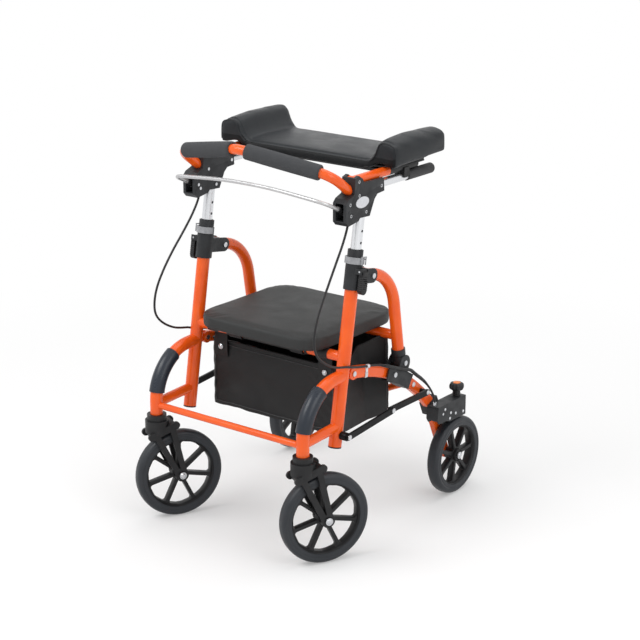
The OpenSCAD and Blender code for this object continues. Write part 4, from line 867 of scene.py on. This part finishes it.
def make_seat():
    low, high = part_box("seat_cushion")
    middle = (low + high) / 2
    shape = seat_shape((high.x - low.x + SEAT_OUT, high.y - low.y + SEAT_OUT, SEAT_SIDE))
    put(shape, Matrix.Translation((middle.x, middle.y, low.z + SEAT_SIDE / 2)))
    bmesh.ops.recalc_face_normals(shape, faces=shape.faces)
    seat = remeshed(shape, "seat_pad", SEAT_NET)
    swelled(seat, low.z + SEAT_SIDE - SEAT_HELD, SEAT_PRESSURE, SEAT_SWELL)
    relaxed(seat, SEAT_RELAX)
    for vert in seat.data.vertices:
        across = min(1.0, abs(vert.co.x - middle.x) / (high.x - middle.x))
        along = min(1.0, abs(vert.co.y - middle.y) / (high.y - middle.y))
        up = eased((vert.co.z - low.z - SEAT_SIDE / 2) / (SEAT_SIDE / 2))
        vert.co.z += SEAT_CROWN * up * (1 - across ** 4) * (1 - along ** 4)
    finer(seat)
    cover = surface_of(seat)
    for turn in SEAT_CORNER_TURNS:
        for lean in (-SEAT_SEAM_LEAN, SEAT_SEAM_LEAN):
            seam = seat_seam(cover, middle, low.z, math.radians(turn + lean))
            pressed(seat, seam, SEAT_SEAM_W, SEAT_SEAM_DEPTH)
    covered(seat, SEAT_VINYL, "seat", "seat_cushion")


# Bag

BAG_HALF_W = 0.176
BAG_Y = (-0.128129, 0.065871)
BAG_Z = (0.235325, 0.395325)
BAG_CORNER = 0.010
BAG_CUTS = 30
BAG_CLOTH_T = 0.0016
HEM_R = 0.0022
SIDE_SEAM_IN = 0.013
SIDE_SEAM_R = 0.0009
SEAM_EDGE = 0.0115
SEAM_FOOT = 0.008
SEAM_OUT = 0.0006
SEAM_R = 0.0008
SEAM_STEPS = 24
LEVEL_STEPS = 40
# Shares of the bag's width, depth and height at which its panels start
SIDE_PANEL = (0.90, 0.08)
FRONT_PANEL = 0.06
BACK_PANEL = (0.94, 0.06)
FLOOR_PANEL = 0.08
CREASE_AT = 0.62
CREASE_POWER = 1.2
SIDE_FOLD = (0.008, 0.030)
BACK_LIFT = 0.034
FRONT_DROP = 0.006
SIDE_DROP = 0.016
FRONT_SAG = 0.005
FRONT_LEAN = 0.007
FRONT_BELLY = 0.004
BACK_BELLY = 0.003
BACK_LEAN = 0.0055
FLOOR_SAG = 0.006
# Depth, and waves to a metre along and up
CRUMPLES = [(0.0040, 9, 14), (0.0014, 26, 30)]
DRAG_DEPTH = 0.0016
DRAG_WAVES = 34
DRAG_SLANT = 0.9
DRAG_SHIFT = 3
DRAG_AT = 0.8
DRAG_WIDTH = 0.22


def bag_drape(point, out=0.0):
    """Where a point of the plain box hangs on the slack bag, moved forwards by out.

    The back is drawn up to the rear rail, and the sides fold in.
    """
    x, y, z = point
    across = x / BAG_HALF_W
    deep = (y - BAG_Y[0]) / (BAG_Y[1] - BAG_Y[0])
    up = (z - BAG_Z[0]) / (BAG_Z[1] - BAG_Z[0])
    inside = math.sin(math.pi * min(max(deep, 0), 1))
    belly = math.sin(math.pi * up)
    crease = max(0.0, min(deep / CREASE_AT, (1 - deep) / (1 - CREASE_AT)))
    spread = 1 - across * across
    side = ramp(abs(across), *SIDE_PANEL)
    front = eased(1 - deep / FRONT_PANEL)
    back = ramp(deep, *BACK_PANEL)
    floor = eased(1 - up / FLOOR_PANEL)
    moved = Vector((x, y, z))
    moved.x -= math.copysign(1, x) * side * crease ** CREASE_POWER * (SIDE_FOLD[0] + SIDE_FOLD[1] * up)
    moved.z += (BACK_LIFT * eased(deep) - FRONT_DROP - SIDE_DROP * side * inside) * up ** 3
    moved.z -= front * spread * FRONT_SAG * up ** 4
    moved.y += front * spread * (FRONT_LEAN * up ** 3 - FRONT_BELLY * belly)
    moved.y += back * (spread * BACK_BELLY * belly - BACK_LEAN * up ** 4)
    moved.z -= floor * spread * inside * FLOOR_SAG
    crumple = sum(depth * noise.noise(Vector((flat * x, flat * y, tall * z)))
                  for depth, flat, tall in CRUMPLES)
    drag = (DRAG_DEPTH * math.sin(DRAG_WAVES * (abs(across) * DRAG_SLANT + up) + DRAG_SHIFT * across)
            * math.exp(-((abs(across) - DRAG_AT) / DRAG_WIDTH) ** 2))
    moved.y += (front - back) * (crumple + drag)
    moved.x += side * math.copysign(1, x) * crumple
    moved.z += floor * crumple
    return moved + Vector((MIDDLE_X, -out, 0))


def upright_seam(x, y, first):
    """Places up the plain box at one corner of its plan."""
    tall = BAG_Z[1] - BAG_Z[0]
    return [Vector((x, y, BAG_Z[0] + tall * k / SEAM_STEPS)) for k in range(first, SEAM_STEPS + 1)]


def front_seams():
    """The sewn lines on the front of the bag: near both side edges, along the foot and under the hem."""
    edge = BAG_HALF_W - SEAM_EDGE
    lines = [upright_seam(x, BAG_Y[0], 1) for x in (-edge, edge)]
    row = [edge * k / LEVEL_STEPS for k in range(-LEVEL_STEPS, LEVEL_STEPS + 1)]
    for z in (BAG_Z[0] + SEAM_FOOT, BAG_Z[1] - SEAM_EDGE):
        lines.append([Vector((x, BAG_Y[0], z)) for x in row])
    return lines


def loop_of(edges):
    """The points of a closed ring of edges, in order."""
    start = edges[0].verts[0]
    ring, edge, vert = [start.co.copy()], edges[0], edges[0].verts[0]
    wanted = set(edges)
    while True:
        vert = edge.other_vert(vert)
        if vert == start:
            return ring
        ring.append(vert.co.copy())
        edge = next(e for e in vert.link_edges if e in wanted and e != edge)


SNAP_X = 0.145
SNAP_Z = 0.3735
SNAP_OUT = 0.0042
SNAP_SIDE = [(0, 0.0032), (0.0022, 0.0031), (0.0036, 0.0026), (0.0042, 0.0018), (0.0054, 0.0022),
             (0.0062, 0.0016), (0.0066, 0.0004), (0.0064, -0.001), (0, -0.001)]
TAB_W = 0.036
TAB_PATH = [(-0.1300, 0.352), (-0.1318, 0.362), (-0.1322, 0.385), (-0.1312, 0.400), (-0.1306, 0.415),
            (-0.1300, 0.424)]


def tab_shape(x):
    """The strap that goes up from the front of the bag to the seat rail."""
    shape = bmesh.new()
    verts = [shape.verts.new((x - TAB_W / 2, y, z)) for y, z in TAB_PATH]
    edges = [shape.edges.new(pair) for pair in zip(verts, verts[1:])]
    drawn_out(shape, bmesh.ops.extrude_edge_only(shape, edges=edges), (TAB_W, 0, 0))
    bmesh.ops.recalc_face_normals(shape, faces=shape.faces)
    bmesh.ops.solidify(shape, geom=shape.faces, thickness=BAG_CLOTH_T)
    return shape


def bag_shape():
    """The draped cloth of the bag, open above, with its hem."""
    shape = block((2 * BAG_HALF_W, BAG_Y[1] - BAG_Y[0], BAG_Z[1] - BAG_Z[0]))
    put(shape, Matrix.Translation((0, sum(BAG_Y) / 2, sum(BAG_Z) / 2)))
    bevelled(shape, [e for e in shape.edges if stands(e)], BAG_CORNER, 4)
    lids = [f for f in shape.faces if f.normal.z > 0.9]
    bmesh.ops.delete(shape, geom=lids, context="FACES_ONLY")
    bmesh.ops.subdivide_edges(shape, edges=[e for e in shape.edges if e.calc_length() > 0.02], cuts=BAG_CUTS,
                              use_grid_fill=True)
    bmesh.ops.triangulate(shape, faces=[f for f in shape.faces if len(f.verts) > 4])
    for vert in shape.verts:
        vert.co = bag_drape(vert.co)
    bmesh.ops.recalc_face_normals(shape, faces=shape.faces)
    hem_route = loop_of([e for e in shape.edges if e.is_boundary])
    bmesh.ops.solidify(shape, geom=shape.faces, thickness=BAG_CLOTH_T)
    joined(shape, tube_mesh(hem_route, HEM_R, closed=True))
    return shape


def make_bag():
    shape = bag_shape()
    for sign in (1, -1):
        joined(shape, tab_shape(sign * SNAP_X + MIDDLE_X))
        for y in (BAG_Y[0] + SIDE_SEAM_IN, BAG_Y[1] - SIDE_SEAM_IN):
            seam = [bag_drape(p) for p in upright_seam(sign * BAG_HALF_W, y, 0)]
            joined(shape, tube_mesh(seam, SIDE_SEAM_R), 1)
    for line in front_seams():
        joined(shape, tube_mesh([bag_drape(p, SEAM_OUT) for p in line], SEAM_R), 1)
    bag = new_piece("carry_bag", shape, [BAG_NYLON, SEAM_THREAD], "front_frame", ["bag"],
                    sharp=CLOTH_SHARP)
    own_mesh(bag)
    for side, sign in SIDES.items():
        front = (sign * SNAP_X + MIDDLE_X, BAG_Y[0] - SNAP_OUT, SNAP_Z)
        snap = put(turned(SNAP_SIDE), aimed(front, (0, -1, 0)))
        new_piece("bag_snap_" + side, snap, BRIGHT_STEEL, "front_frame", sharp=TUBE_SHARP)


RAIL_PLACE = (-0.142129, 0.422325)
RAIL_WRAP_END = [(0.0111, 0.0002), (0.0115, 0), (0.0121, 0.0008)]
RAIL_WRAPS = [(-0.066, 0.066), (0.104, 0.112), (-0.112, -0.104), (0.136, 0.166), (-0.166, -0.136)]


def make_rail_wrap():
    """The cloth sleeve of the bag round the front rail, in the gaps between the seat's clamps."""
    for i, (first, last) in enumerate(RAIL_WRAPS):
        outline = RAIL_WRAP_END + [(r, last - first - z) for r, z in reversed(RAIL_WRAP_END)]
        shape = put(turned(outline, SLEEVE_STEPS), aimed((first + MIDDLE_X, *RAIL_PLACE), (1, 0, 0)))
        new_piece("rail_wrap_%d" % (i + 1), shape, BAG_NYLON, "front_frame", sharp=CLOTH_SHARP)


# Bare plates on the brackets

OVAL_CENTRE = (-0.105, 0.751)
OVAL_HALF = (0.0220, 0.0118)
OVAL_T = 0.0014
OVAL_EDGE = 0.0008
OVAL_SUNK = 0.0002
OVAL_STEPS = 56


def make_plates():
    for side, sign in SIDES.items():
        plate = bmesh.new()
        bmesh.ops.create_circle(plate, cap_ends=True, segments=OVAL_STEPS, radius=1.0)
        bmesh.ops.scale(plate, vec=(OVAL_HALF[1], OVAL_HALF[0], 1), verts=plate.verts)
        drawn_out(plate, bmesh.ops.extrude_face_region(plate, geom=plate.faces), (0, 0, OVAL_T))
        top = [e for e in plate.edges if all(v.co.z > OVAL_T / 2 for v in e.verts)]
        bevelled(plate, top, OVAL_EDGE, 3)
        bmesh.ops.recalc_face_normals(plate, faces=plate.faces)
        place = on_side(side, (BRACKET_FACE_X - OVAL_SUNK, *OVAL_CENTRE))
        put(plate, Matrix.Translation(place) @ Matrix.Rotation(sign * math.pi / 2, 4, "Y"))
        new_piece("bracket_plate_" + side, plate, PLATE_GREY, "handles")


# Painted shade in the screw sockets, lever ribs with painted highlights, and post rims

# Painted shade: a flat dark hexagon on a screw head stands for the shade inside its hex recess
SOCKET_SHADE_SIDE = [(0, 0.0001), (0.0020, 0.0001), (0.0020, -0.0003), (0, -0.0003)]
SCREW_SIDES = 6
PIVOT_CAP = [(0, 0.0005), (0.0045, 0.0005), (0.0050, 0.0002), (0.0050, -0.003), (0, -0.003)]
LEVER_PIVOT = Vector((-0.148253, 0.737242))
PIVOT_NEAR = 0.002
FLUSH = 1e-4
RIB_R = 0.0009
RIB_EDGE = 0.0018
RIB_REACH = (0.0115, 0.0015)
RIM_GAP = 0.0002
RIM_TOP = 0.0010
RIM_EDGE = (0.0005, 0.0006)


def islands(node):
    """The points of each separate solid of a node."""
    shape = copied_mesh(node)
    waiting = set(shape.verts)
    groups = []
    while waiting:
        edge = [waiting.pop()]
        group = []
        while edge:
            vert = edge.pop()
            group.append(vert.co.copy())
            for link in vert.link_edges:
                other = link.other_vert(vert)
                if other in waiting:
                    waiting.remove(other)
                    edge.append(other)
        groups.append(group)
    shape.free()
    return groups


def make_socket_shades():
    """A dark hexagon on each screw head of the brackets, painted shade of its hex recess; the brake's pivot
    is capped.
    """
    socket_shades, caps = bmesh.new(), bmesh.new()
    for group in islands("bracket_screws"):
        sign = 1 if group[0].x > MIDDLE_X else -1
        head = MIDDLE_X + sign * max(abs(p.x - MIDDLE_X) for p in group)
        place = Vector((head, *((min(p[i] for p in group) + max(p[i] for p in group)) / 2 for i in (1, 2))))
        pivot = (place.yz - LEVER_PIVOT).length < PIVOT_NEAR
        disc = turned(PIVOT_CAP) if pivot else turned(SOCKET_SHADE_SIDE, SCREW_SIDES)
        joined(caps if pivot else socket_shades, put(disc, aimed(place, (sign, 0, 0))))
    new_piece("painted_socket_shade", socket_shades, BLACK_PLASTIC, "handles")
    new_piece("pivot_caps", caps, DARK_PLASTIC, "handles")


def make_lever_rib_highlights():
    """Ridges round the front and the outer face of the toggle levers, on the ribs of the CAD, in a lighter
    rubber than the lever: real ridges with painted highlights on their crests.
    """
    across = POST_WAY.cross(Vector((1, 0, 0)))
    for side, sign in SIDES.items():
        points = [v.co for v in frame["nodes"]["latch_lever_" + side].data.vertices]
        out = max(sign * p.x for p in points)
        crests = [p for p in points if sign * p.x > out - FLUSH]
        low, high = (pick(p.dot(across) for p in crests) for pick in (min, max))
        levels = sorted({round(p.dot(POST_WAY), 4) for p in crests})
        turns = [(out - reach, low - RIB_EDGE) for reach in RIB_REACH] + [(out, low), (out, high)]
        shape = bmesh.new()
        for first, last in zip(levels[::2], levels[1::2]):
            route = [Vector((sign * x, 0, 0)) + across * t + POST_WAY * (first + last) / 2 for x, t in turns]
            joined(shape, tube_mesh(route, RIB_R))
        # Painted highlight: the ridges take the grip rubber, lighter than the black lever, to stand for
        # light on their crests
        new_piece("lever_rib_highlights_" + side, shape, GRIP_RUBBER, "latch_" + side)


def make_post_rims():
    """Dark rings on the cut ends of the posts, round the height tubes."""
    for side in SIDES:
        points = [v.co for v in frame["nodes"]["post_" + side].data.vertices]
        top = max(p.dot(POST_WAY) for p in points)
        ends = [p for p in points if p.dot(POST_WAY) > top - FLUSH]
        centre = sum(ends, Vector()) / len(ends)
        spans = sorted((p - centre).length for p in ends)
        bore, out = spans[0] + RIM_GAP, spans[-1]
        outline = [(bore, -RIM_GAP), (out, -RIM_GAP), (out, RIM_EDGE[1]), (out - RIM_EDGE[0], RIM_TOP),
                   (bore, RIM_TOP)]
        ring = put(turned(looped(outline), SLEEVE_STEPS), aimed(centre, POST_WAY))
        new_piece("post_rim_" + side, ring, DARK_PLASTIC, "front_frame")


# Wheels and bolts

CASTOR_TURN = math.radians(-27)
CASTOR_HUB = (0.02179, -0.24021, 0.100)
CASTOR_R = 0.100
CASTOR_BOLT_NEAR = 0.02
REAR_HUB = (0.231, 0.242019, 0.091)
REAR_R = 0.091
REAR_PHASE = 0.32
REAR_BOLT_NEAR = 0.012
STAY_END = (0.2340, 0.12863, 0.27351)
STAY_BOLT_SCALE = 0.62
SPOKES = 7
SPOKE_HALF = 0.0042
TYRE_SIDE = [(-21.5, 12.0), (-20.5, 13.4), (-14.2, 14.7), (-12.9, 14.0), (-12.1, 14.0), (-10.8, 14.8),
             (-7.5, 14.6), (-4.5, 13.4), (-2.3, 11.4), (-0.9, 8.6), (-0.2, 5.4), (0, 2.2)]
RIM_SIDE = [(-21.0, 12.2), (-22.2, 12.8), (-23.4, 12.0), (-25.6, 7.6)]
HUB_SIDE = [(4.2, 14.6), (9.0, 14.6), (9.6, 13.2), (12.6, 13.2), (13.4, 14.8), (14.6, 14.2), (15.4, 8.0)]
TYRE_STEPS = 96
RIM_STEPS = 72
WEB_IN = 0.0215
WEB_STEPS = 84
WEB_T = 0.016
WEB_EDGE = 0.0012
WEB_CORNER = 1.2
WEB_EDGE_CLEAR = 0.001
WINDOW_NEAR = 0.0180
WINDOW_IN = 0.0262
WINDOW_BOW = 0.0018
WINDOW_FILLETS = (0.002, 0.0050, 0.030)
FILLET_STEPS = 5
BOLT_SIDE = [(0, 0.0030), (0.0042, 0.0029), (0.0052, 0.0020), (0.0058, 0.0009), (0.0080, 0.0009),
             (0.0083, 0.0005), (0.0083, -0.0006), (0, -0.0006)]


def mirrored_ring(side, radius):
    """A closed section from the half above the wheel's middle; offsets in millimetres from the radius."""
    above = [(radius + r / 1000, z / 1000) for r, z in side]
    return looped(above + [(r, -z) for r, z in reversed(above)])


def rounded_loop(corners):
    """A closed outline through (point, radius) corners, each rounded by an arc."""
    loop = []
    for i, (point, radius) in enumerate(corners):
        back = (corners[i - 1][0] - point).normalized()
        ahead = (corners[(i + 1) % len(corners)][0] - point).normalized()
        half = back.angle(ahead) / 2
        middle = point + (back + ahead).normalized() * radius / math.sin(half)
        first = point + back * radius / math.tan(half) - middle
        last = point + ahead * radius / math.tan(half) - middle
        for k in range(FILLET_STEPS + 1):
            loop.append(middle + radius * first.slerp(last, k / FILLET_STEPS))
    return loop


def web_loops(edge, far, phase):
    """The rim of the web and the outline of the window between each two spokes."""
    inner, outer, bowed = WINDOW_FILLETS
    corner_row = [(WINDOW_NEAR, -1, inner), (far, -1, outer), (far + WINDOW_BOW, 0, bowed), (far, 1, outer),
                  (WINDOW_NEAR, 1, inner)]
    loops = [[on_circle(edge, math.tau * k / WEB_STEPS) for k in range(WEB_STEPS)]]
    for k in range(SPOKES):
        middle = math.tau * (k + phase) / SPOKES
        half = math.pi / SPOKES
        loops.append(rounded_loop([(on_circle(r, middle + turn * (half - math.asin(SPOKE_HALF / r))), fillet)
                                   for r, turn, fillet in corner_row]))
    return loops


def spoke_web(radius, phase):
    """The flat web of a rim: a disc with a rounded window between each two spokes."""
    shape = bmesh.new()
    edge = radius - WEB_IN
    edges = []
    for loop in web_loops(edge, radius - WINDOW_IN, phase):
        verts = [shape.verts.new(p) for p in loop]
        edges += [shape.edges.new((verts[i - 1], verts[i])) for i in range(len(verts))]
    bmesh.ops.triangle_fill(shape, use_beauty=True, use_dissolve=False, edges=edges)
    put(shape, Matrix.Translation((0, 0, -WEB_T / 2)))
    drawn_out(shape, bmesh.ops.extrude_face_region(shape, geom=shape.faces), (0, 0, WEB_T))
    bmesh.ops.recalc_face_normals(shape, faces=shape.faces)
    corners = [e for e in shape.edges if e.is_manifold and e.calc_face_angle() > WEB_CORNER
               and e.verts[0].co.xy.length < edge - WEB_EDGE_CLEAR]
    bevelled(shape, corners, WEB_EDGE, 2)
    return shape


def make_wheel(name, place, radius, phase, body):
    shape = spoke_web(radius, phase)
    for section in (mirrored_ring(RIM_SIDE, radius), mirrored_ring(HUB_SIDE, 0)):
        joined(shape, turned(section, RIM_STEPS))
    new_piece(name + "_spokes", put(shape, place), BLACK_PLASTIC, body,
              [name.replace("wheel", "rim")])
    tyre = put(turned(mirrored_ring(TYRE_SIDE, radius), TYRE_STEPS), place)
    new_piece(name + "_tread", tyre, TYRE_RUBBER, body, [name.replace("wheel", "tyre")])


def make_bolt(name, place, axis, body, scale=1.0):
    bolt = turned([(scale * r, scale * z) for r, z in BOLT_SIDE])
    new_piece(name, put(bolt, aimed(place, axis)), BRIGHT_STEEL, body)


def reach_along(node, point, axis, within):
    """How far the node's surface stands out along an axis from a point, near that axis."""
    best = 0.0
    for vert in frame["nodes"][node].data.vertices:
        away = vert.co - point
        along = away.dot(axis)
        if (away - along * axis).length < within:
            best = max(best, along)
    return best


def make_wheels():
    lie = Matrix.Rotation(math.pi / 2, 4, "Y")
    for side, sign in SIDES.items():
        hub = Vector((sign * POST_X + MIDDLE_X + CASTOR_HUB[0], *CASTOR_HUB[1:]))
        place = Matrix.Translation(hub) @ Matrix.Rotation(CASTOR_TURN, 4, "Z") @ lie
        make_wheel("castor_wheel_" + side, place, CASTOR_R, 0.0, "castor_" + side)
        axis = on_circle(1, CASTOR_TURN)
        for end, way in (("near", axis), ("far", -axis)):
            out = reach_along("castor_fork_" + side, hub, way, CASTOR_BOLT_NEAR)
            make_bolt("castor_bolt_%s_%s" % (side, end), hub + way * out, way, "fork_" + side)
        hub = on_side(side, REAR_HUB)
        axis = Vector((sign, 0, 0))
        place = Matrix.Translation(hub) @ lie
        make_wheel("rear_wheel_" + side, place, REAR_R, REAR_PHASE, "rear_wheel_" + side)
        make_bolt("stay_end_bolt_" + side, on_side(side, STAY_END), axis, "stay_rear", STAY_BOLT_SCALE)
        out = reach_along("rear_bolts", hub, axis, REAR_BOLT_NEAR)
        make_bolt("rear_wheel_bolt_" + side, hub + axis * out, axis, "rear_frame")


# Brake knobs and housing screws

KNOB_PLACE = (0.2295, 0.251059, 0.2450)
KNOB_R = 0.0170
KNOB_TOP = 0.0172
KNOB_STEPS = 80
KNOB_LOBES = 8
KNOB_GRIP = 0.7
KNOB_DENT = 0.10
KNOB_DENT_POWER = 1.5
KNOB_SIDE = [(0, KNOB_TOP), (0.45, KNOB_TOP), (0.60, 0.0168), (0.80, 0.0160), (0.93, 0.0140), (1.0, 0.0105),
             (1.0, 0.0055), (0.94, 0.0024), (0.78, 0.0005), (0.5, 0.0)]
NECK_SIDE = [(0.0072, -0.0138), (0.0086, -0.0138), (0.0092, -0.0130), (0.0092, -0.0112), (0.0084, -0.0104),
             (0.0084, -0.0092), (0.0092, -0.0084), (0.0092, -0.0066), (0.0084, -0.0058), (0.0084, -0.0046),
             (0.0090, -0.0038), (0.0090, -0.0016), (0.0080, 0.0004), (0.0072, 0.0004)]
NECK_STEPS = 36
DOT_R = 0.0088
DOT_STEPS = 32
DOT_SIDE = [(0, 0.0012), (0.6, 0.0011), (0.9, 0.0007), (1, 0), (1, -0.001), (0, -0.001)]
HOUSING_SCREWS = [(0.1830, 0.2194), (0.2064, 0.2050), (0.2264, 0.1985), (0.2032, 0.1925), (0.2571, 0.1945)]
HOUSING_SCREW_SCALE = 0.42


def knob_shape():
    """A round knob with finger dents, on its ringed neck."""
    shape = turned([(KNOB_R * r, z) for r, z in KNOB_SIDE], KNOB_STEPS)
    for vert in shape.verts:
        if vert.co.xy.length > KNOB_GRIP * KNOB_R:
            lobe = 0.5 - 0.5 * math.cos(KNOB_LOBES * math.atan2(vert.co.y, vert.co.x))
            dent = KNOB_DENT * lobe ** KNOB_DENT_POWER
            vert.co.x *= 1 - dent
            vert.co.y *= 1 - dent
    joined(shape, turned(looped(NECK_SIDE), NECK_STEPS))
    return shape


def make_brakes():
    face = max(abs(v.co.x - MIDDLE_X) for v in frame["nodes"]["brake_housings"].data.vertices)
    for side, sign in SIDES.items():
        place = on_side(side, KNOB_PLACE)
        knob = put(knob_shape(), Matrix.Translation(place))
        new_piece("brake_knob_" + side, knob, FORK_PLASTIC, "knob_" + side,
                  ["drag_knob_" + side], sharp=0.8)
        dot = turned([(DOT_R * r, z) for r, z in DOT_SIDE], DOT_STEPS)
        put(dot, Matrix.Translation(place + Vector((0, 0, KNOB_TOP))))
        new_piece("knob_dot_" + side, dot, KNOB_ORANGE, "knob_" + side)
        for i, (y, z) in enumerate(HOUSING_SCREWS):
            make_bolt("housing_screw_%s_%d" % (side, i + 1), on_side(side, (face, y, z)), (sign, 0, 0),
                      "rear_frame", HOUSING_SCREW_SCALE)


# Sleeves on the tubes

PAD_RAIL = (0.204, 0.795202)
PAD_RAIL_COVER = (0.004, 0.1052)
PAD_RAIL_BORE_R = 0.0095
PAD_RAIL_COVER_R = 0.0102
PAD_RAIL_CAP_T = 0.001
PAD_RAIL_CROWN = 0.0002
PAD_RAIL_STEPS = 36
CANE_FOOT = Vector((0.204, 0.058146, 0.359162))
CANE_WAY = Vector((0, -0.1612, 0.9869))
CANE_R = 0.0133
CANE_SOCKET = [(-0.0006, 0.017), (0.0018, 0.017), (0.0024, 0.0180), (0.0024, 0.0315), (0.0018, 0.0325),
               (-0.0006, 0.0325)]
CANE_SHOE_TOP = 0.030
CANE_SHOE_OUT = 0.0004


def cane_shoe(side, foot):
    """A thin shoe over the foot of a cane, cut from the cane's own mesh."""
    shoe = copied_mesh("cane_" + side)
    bmesh.ops.bisect_plane(shoe, geom=shoe.verts[:] + shoe.edges[:] + shoe.faces[:], clear_outer=True,
                           plane_co=foot + CANE_WAY * CANE_SHOE_TOP, plane_no=CANE_WAY)
    bmesh.ops.recalc_face_normals(shoe, faces=shoe.faces)
    shoe.normal_update()
    for vert in shoe.verts:
        vert.co += vert.normal * CANE_SHOE_OUT
    return shoe


def make_sleeves():
    start, end = PAD_RAIL_COVER
    run = end - start
    cap = run - PAD_RAIL_CAP_T
    cover_side = [(PAD_RAIL_BORE_R, 0), (PAD_RAIL_COVER_R, 0), (PAD_RAIL_COVER_R, run),
                  (0, run + PAD_RAIL_CROWN), (0, cap), (PAD_RAIL_BORE_R, cap)]
    for side in SIDES:
        foot = on_side(side, CANE_FOOT)
        outline = looped([(CANE_R + r, z) for r, z in CANE_SOCKET])
        socket = put(turned(outline, SLEEVE_STEPS), aimed(foot, CANE_WAY))
        joined(socket, cane_shoe(side, foot))
        new_piece("cane_socket_" + side, socket, DARK_PLASTIC, "canes", sharp=0.9)
        place = on_side(side, (PAD_RAIL[0], start, PAD_RAIL[1]))
        cover = put(turned(looped(cover_side), PAD_RAIL_STEPS), aimed(place, (0, 1, 0)))
        new_piece("pad_rail_cover_" + side, cover, BLACK_PLASTIC, "armrest", sharp=0.9)


# Stage, light and camera

CAMERA_PLACE = Vector((2.2957, -2.9545, 1.6179))
CAMERA_TURN = math.radians(37.6825)
CAMERA_LIFT = math.radians(17.5788)
CAMERA_LENS = 99.86
CAMERA_SENSOR = 36
FLOOR_HALF = 14
FLOOR_COLOUR = (0.92, 0.92, 0.92, 1)
FLOOR_FADE = {"From Min": 0.7, "From Max": 1.9, "To Min": 0.25, "To Max": 1.0}
WHITE = (1, 1, 1, 1)
AMBIENT = 0.62
# Name, place, what it is aimed at, sides and watts
LAMPS = [
    ("key", (-1.2, -2.2, 3.0), (0, 0, 0.4), (2.2, 1.6), 55),
    ("fill", (2.8, -0.6, 2.0), (0, 0, 0.45), (1.8, 1.8), 22),
    ("top", (0.2, 0.8, 3.2), (0, 0, 0.4), (2.5, 2.5), 30),
]


def seen_mask(tree):
    """1 for what the camera sees, straight, reflected or through glass, and 0 for the light it sheds."""
    path = tree.nodes.new("ShaderNodeLightPath").outputs
    seen = math_node(tree, "MAXIMUM", path["Is Camera Ray"], path["Is Glossy Ray"])
    return math_node(tree, "MAXIMUM", seen, path["Is Transmission Ray"])


def end_in_mix(tree, output, share, lit, seen):
    mix = node_with(tree, "ShaderNodeMixShader", {0: share, 1: lit.outputs[0], 2: seen.outputs[0]})
    node_with(tree, output, {"Surface": mix.outputs[0]})


def make_stage():
    """A pale floor that keeps the walker's shadow and fades to white round it."""
    shape = bmesh.new()
    bmesh.ops.create_grid(shape, x_segments=1, y_segments=1, size=FLOOR_HALF)
    floor = new_object("floor", mesh_from("floor", shape))
    pale = bpy.data.materials.new("pale_floor")
    pale.use_nodes = True
    tree = pale.node_tree
    tree.nodes.clear()
    matt = node_with(tree, "ShaderNodeBsdfDiffuse", {"Color": FLOOR_COLOUR})
    glow = tree.nodes.new("ShaderNodeEmission")
    place = tree.nodes.new("ShaderNodeTexCoord").outputs["Object"]
    reach = node_with(tree, "ShaderNodeVectorMath", {0: place}, operation="LENGTH").outputs["Value"]
    fade = node_with(tree, "ShaderNodeMapRange", {"Value": reach, **FLOOR_FADE},
                     interpolation_type="SMOOTHSTEP")
    share = math_node(tree, "MULTIPLY", seen_mask(tree), fade.outputs["Result"])
    end_in_mix(tree, "ShaderNodeOutputMaterial", share, matt, glow)
    floor.data.materials.append(pale)


def make_world():
    world = bpy.data.worlds.new("studio")
    bpy.context.scene.world = world
    world.use_nodes = True
    tree = world.node_tree
    tree.nodes.clear()
    ambient = node_with(tree, "ShaderNodeBackground", {"Color": WHITE, "Strength": AMBIENT})
    white = node_with(tree, "ShaderNodeBackground", {"Color": WHITE})
    end_in_mix(tree, "ShaderNodeOutputWorld", seen_mask(tree), ambient, white)


def make_lamps():
    for name, place, target, size, power in LAMPS:
        lamp = bpy.data.lights.new(name, "AREA")
        lamp.shape = "RECTANGLE"
        lamp.size, lamp.size_y = size
        lamp.energy = power
        holder = new_object(name, lamp)
        holder.location = place
        holder.rotation_euler = (Vector(target) - Vector(place)).to_track_quat("-Z", "Y").to_euler()


def make_camera():
    lens = bpy.data.cameras.new("photo_camera")
    lens.sensor_fit = "HORIZONTAL"
    lens.sensor_width = CAMERA_SENSOR
    lens.lens = CAMERA_LENS
    camera = new_object("photo_camera", lens)
    right = Vector((math.cos(CAMERA_TURN), math.sin(CAMERA_TURN), 0))
    flat = math.cos(CAMERA_LIFT)
    back = Vector((math.sin(CAMERA_TURN) * flat, -math.cos(CAMERA_TURN) * flat, math.sin(CAMERA_LIFT)))
    turn = Matrix((right, back.cross(right), back)).transposed().to_4x4()
    camera.matrix_world = Matrix.Translation(CAMERA_PLACE) @ turn
    bpy.context.scene.camera = camera


make_camera()
dress_nodes()
make_cables()
make_foam()
make_pad()
make_seat()
make_bag()
make_rail_wrap()
make_plates()
make_socket_shades()
make_lever_rib_highlights()
make_post_rims()
make_wheels()
make_brakes()
make_sleeves()
make_moulded()
make_stage()
make_world()
make_lamps()
bpy.context.scene.view_settings.view_transform = "Standard"
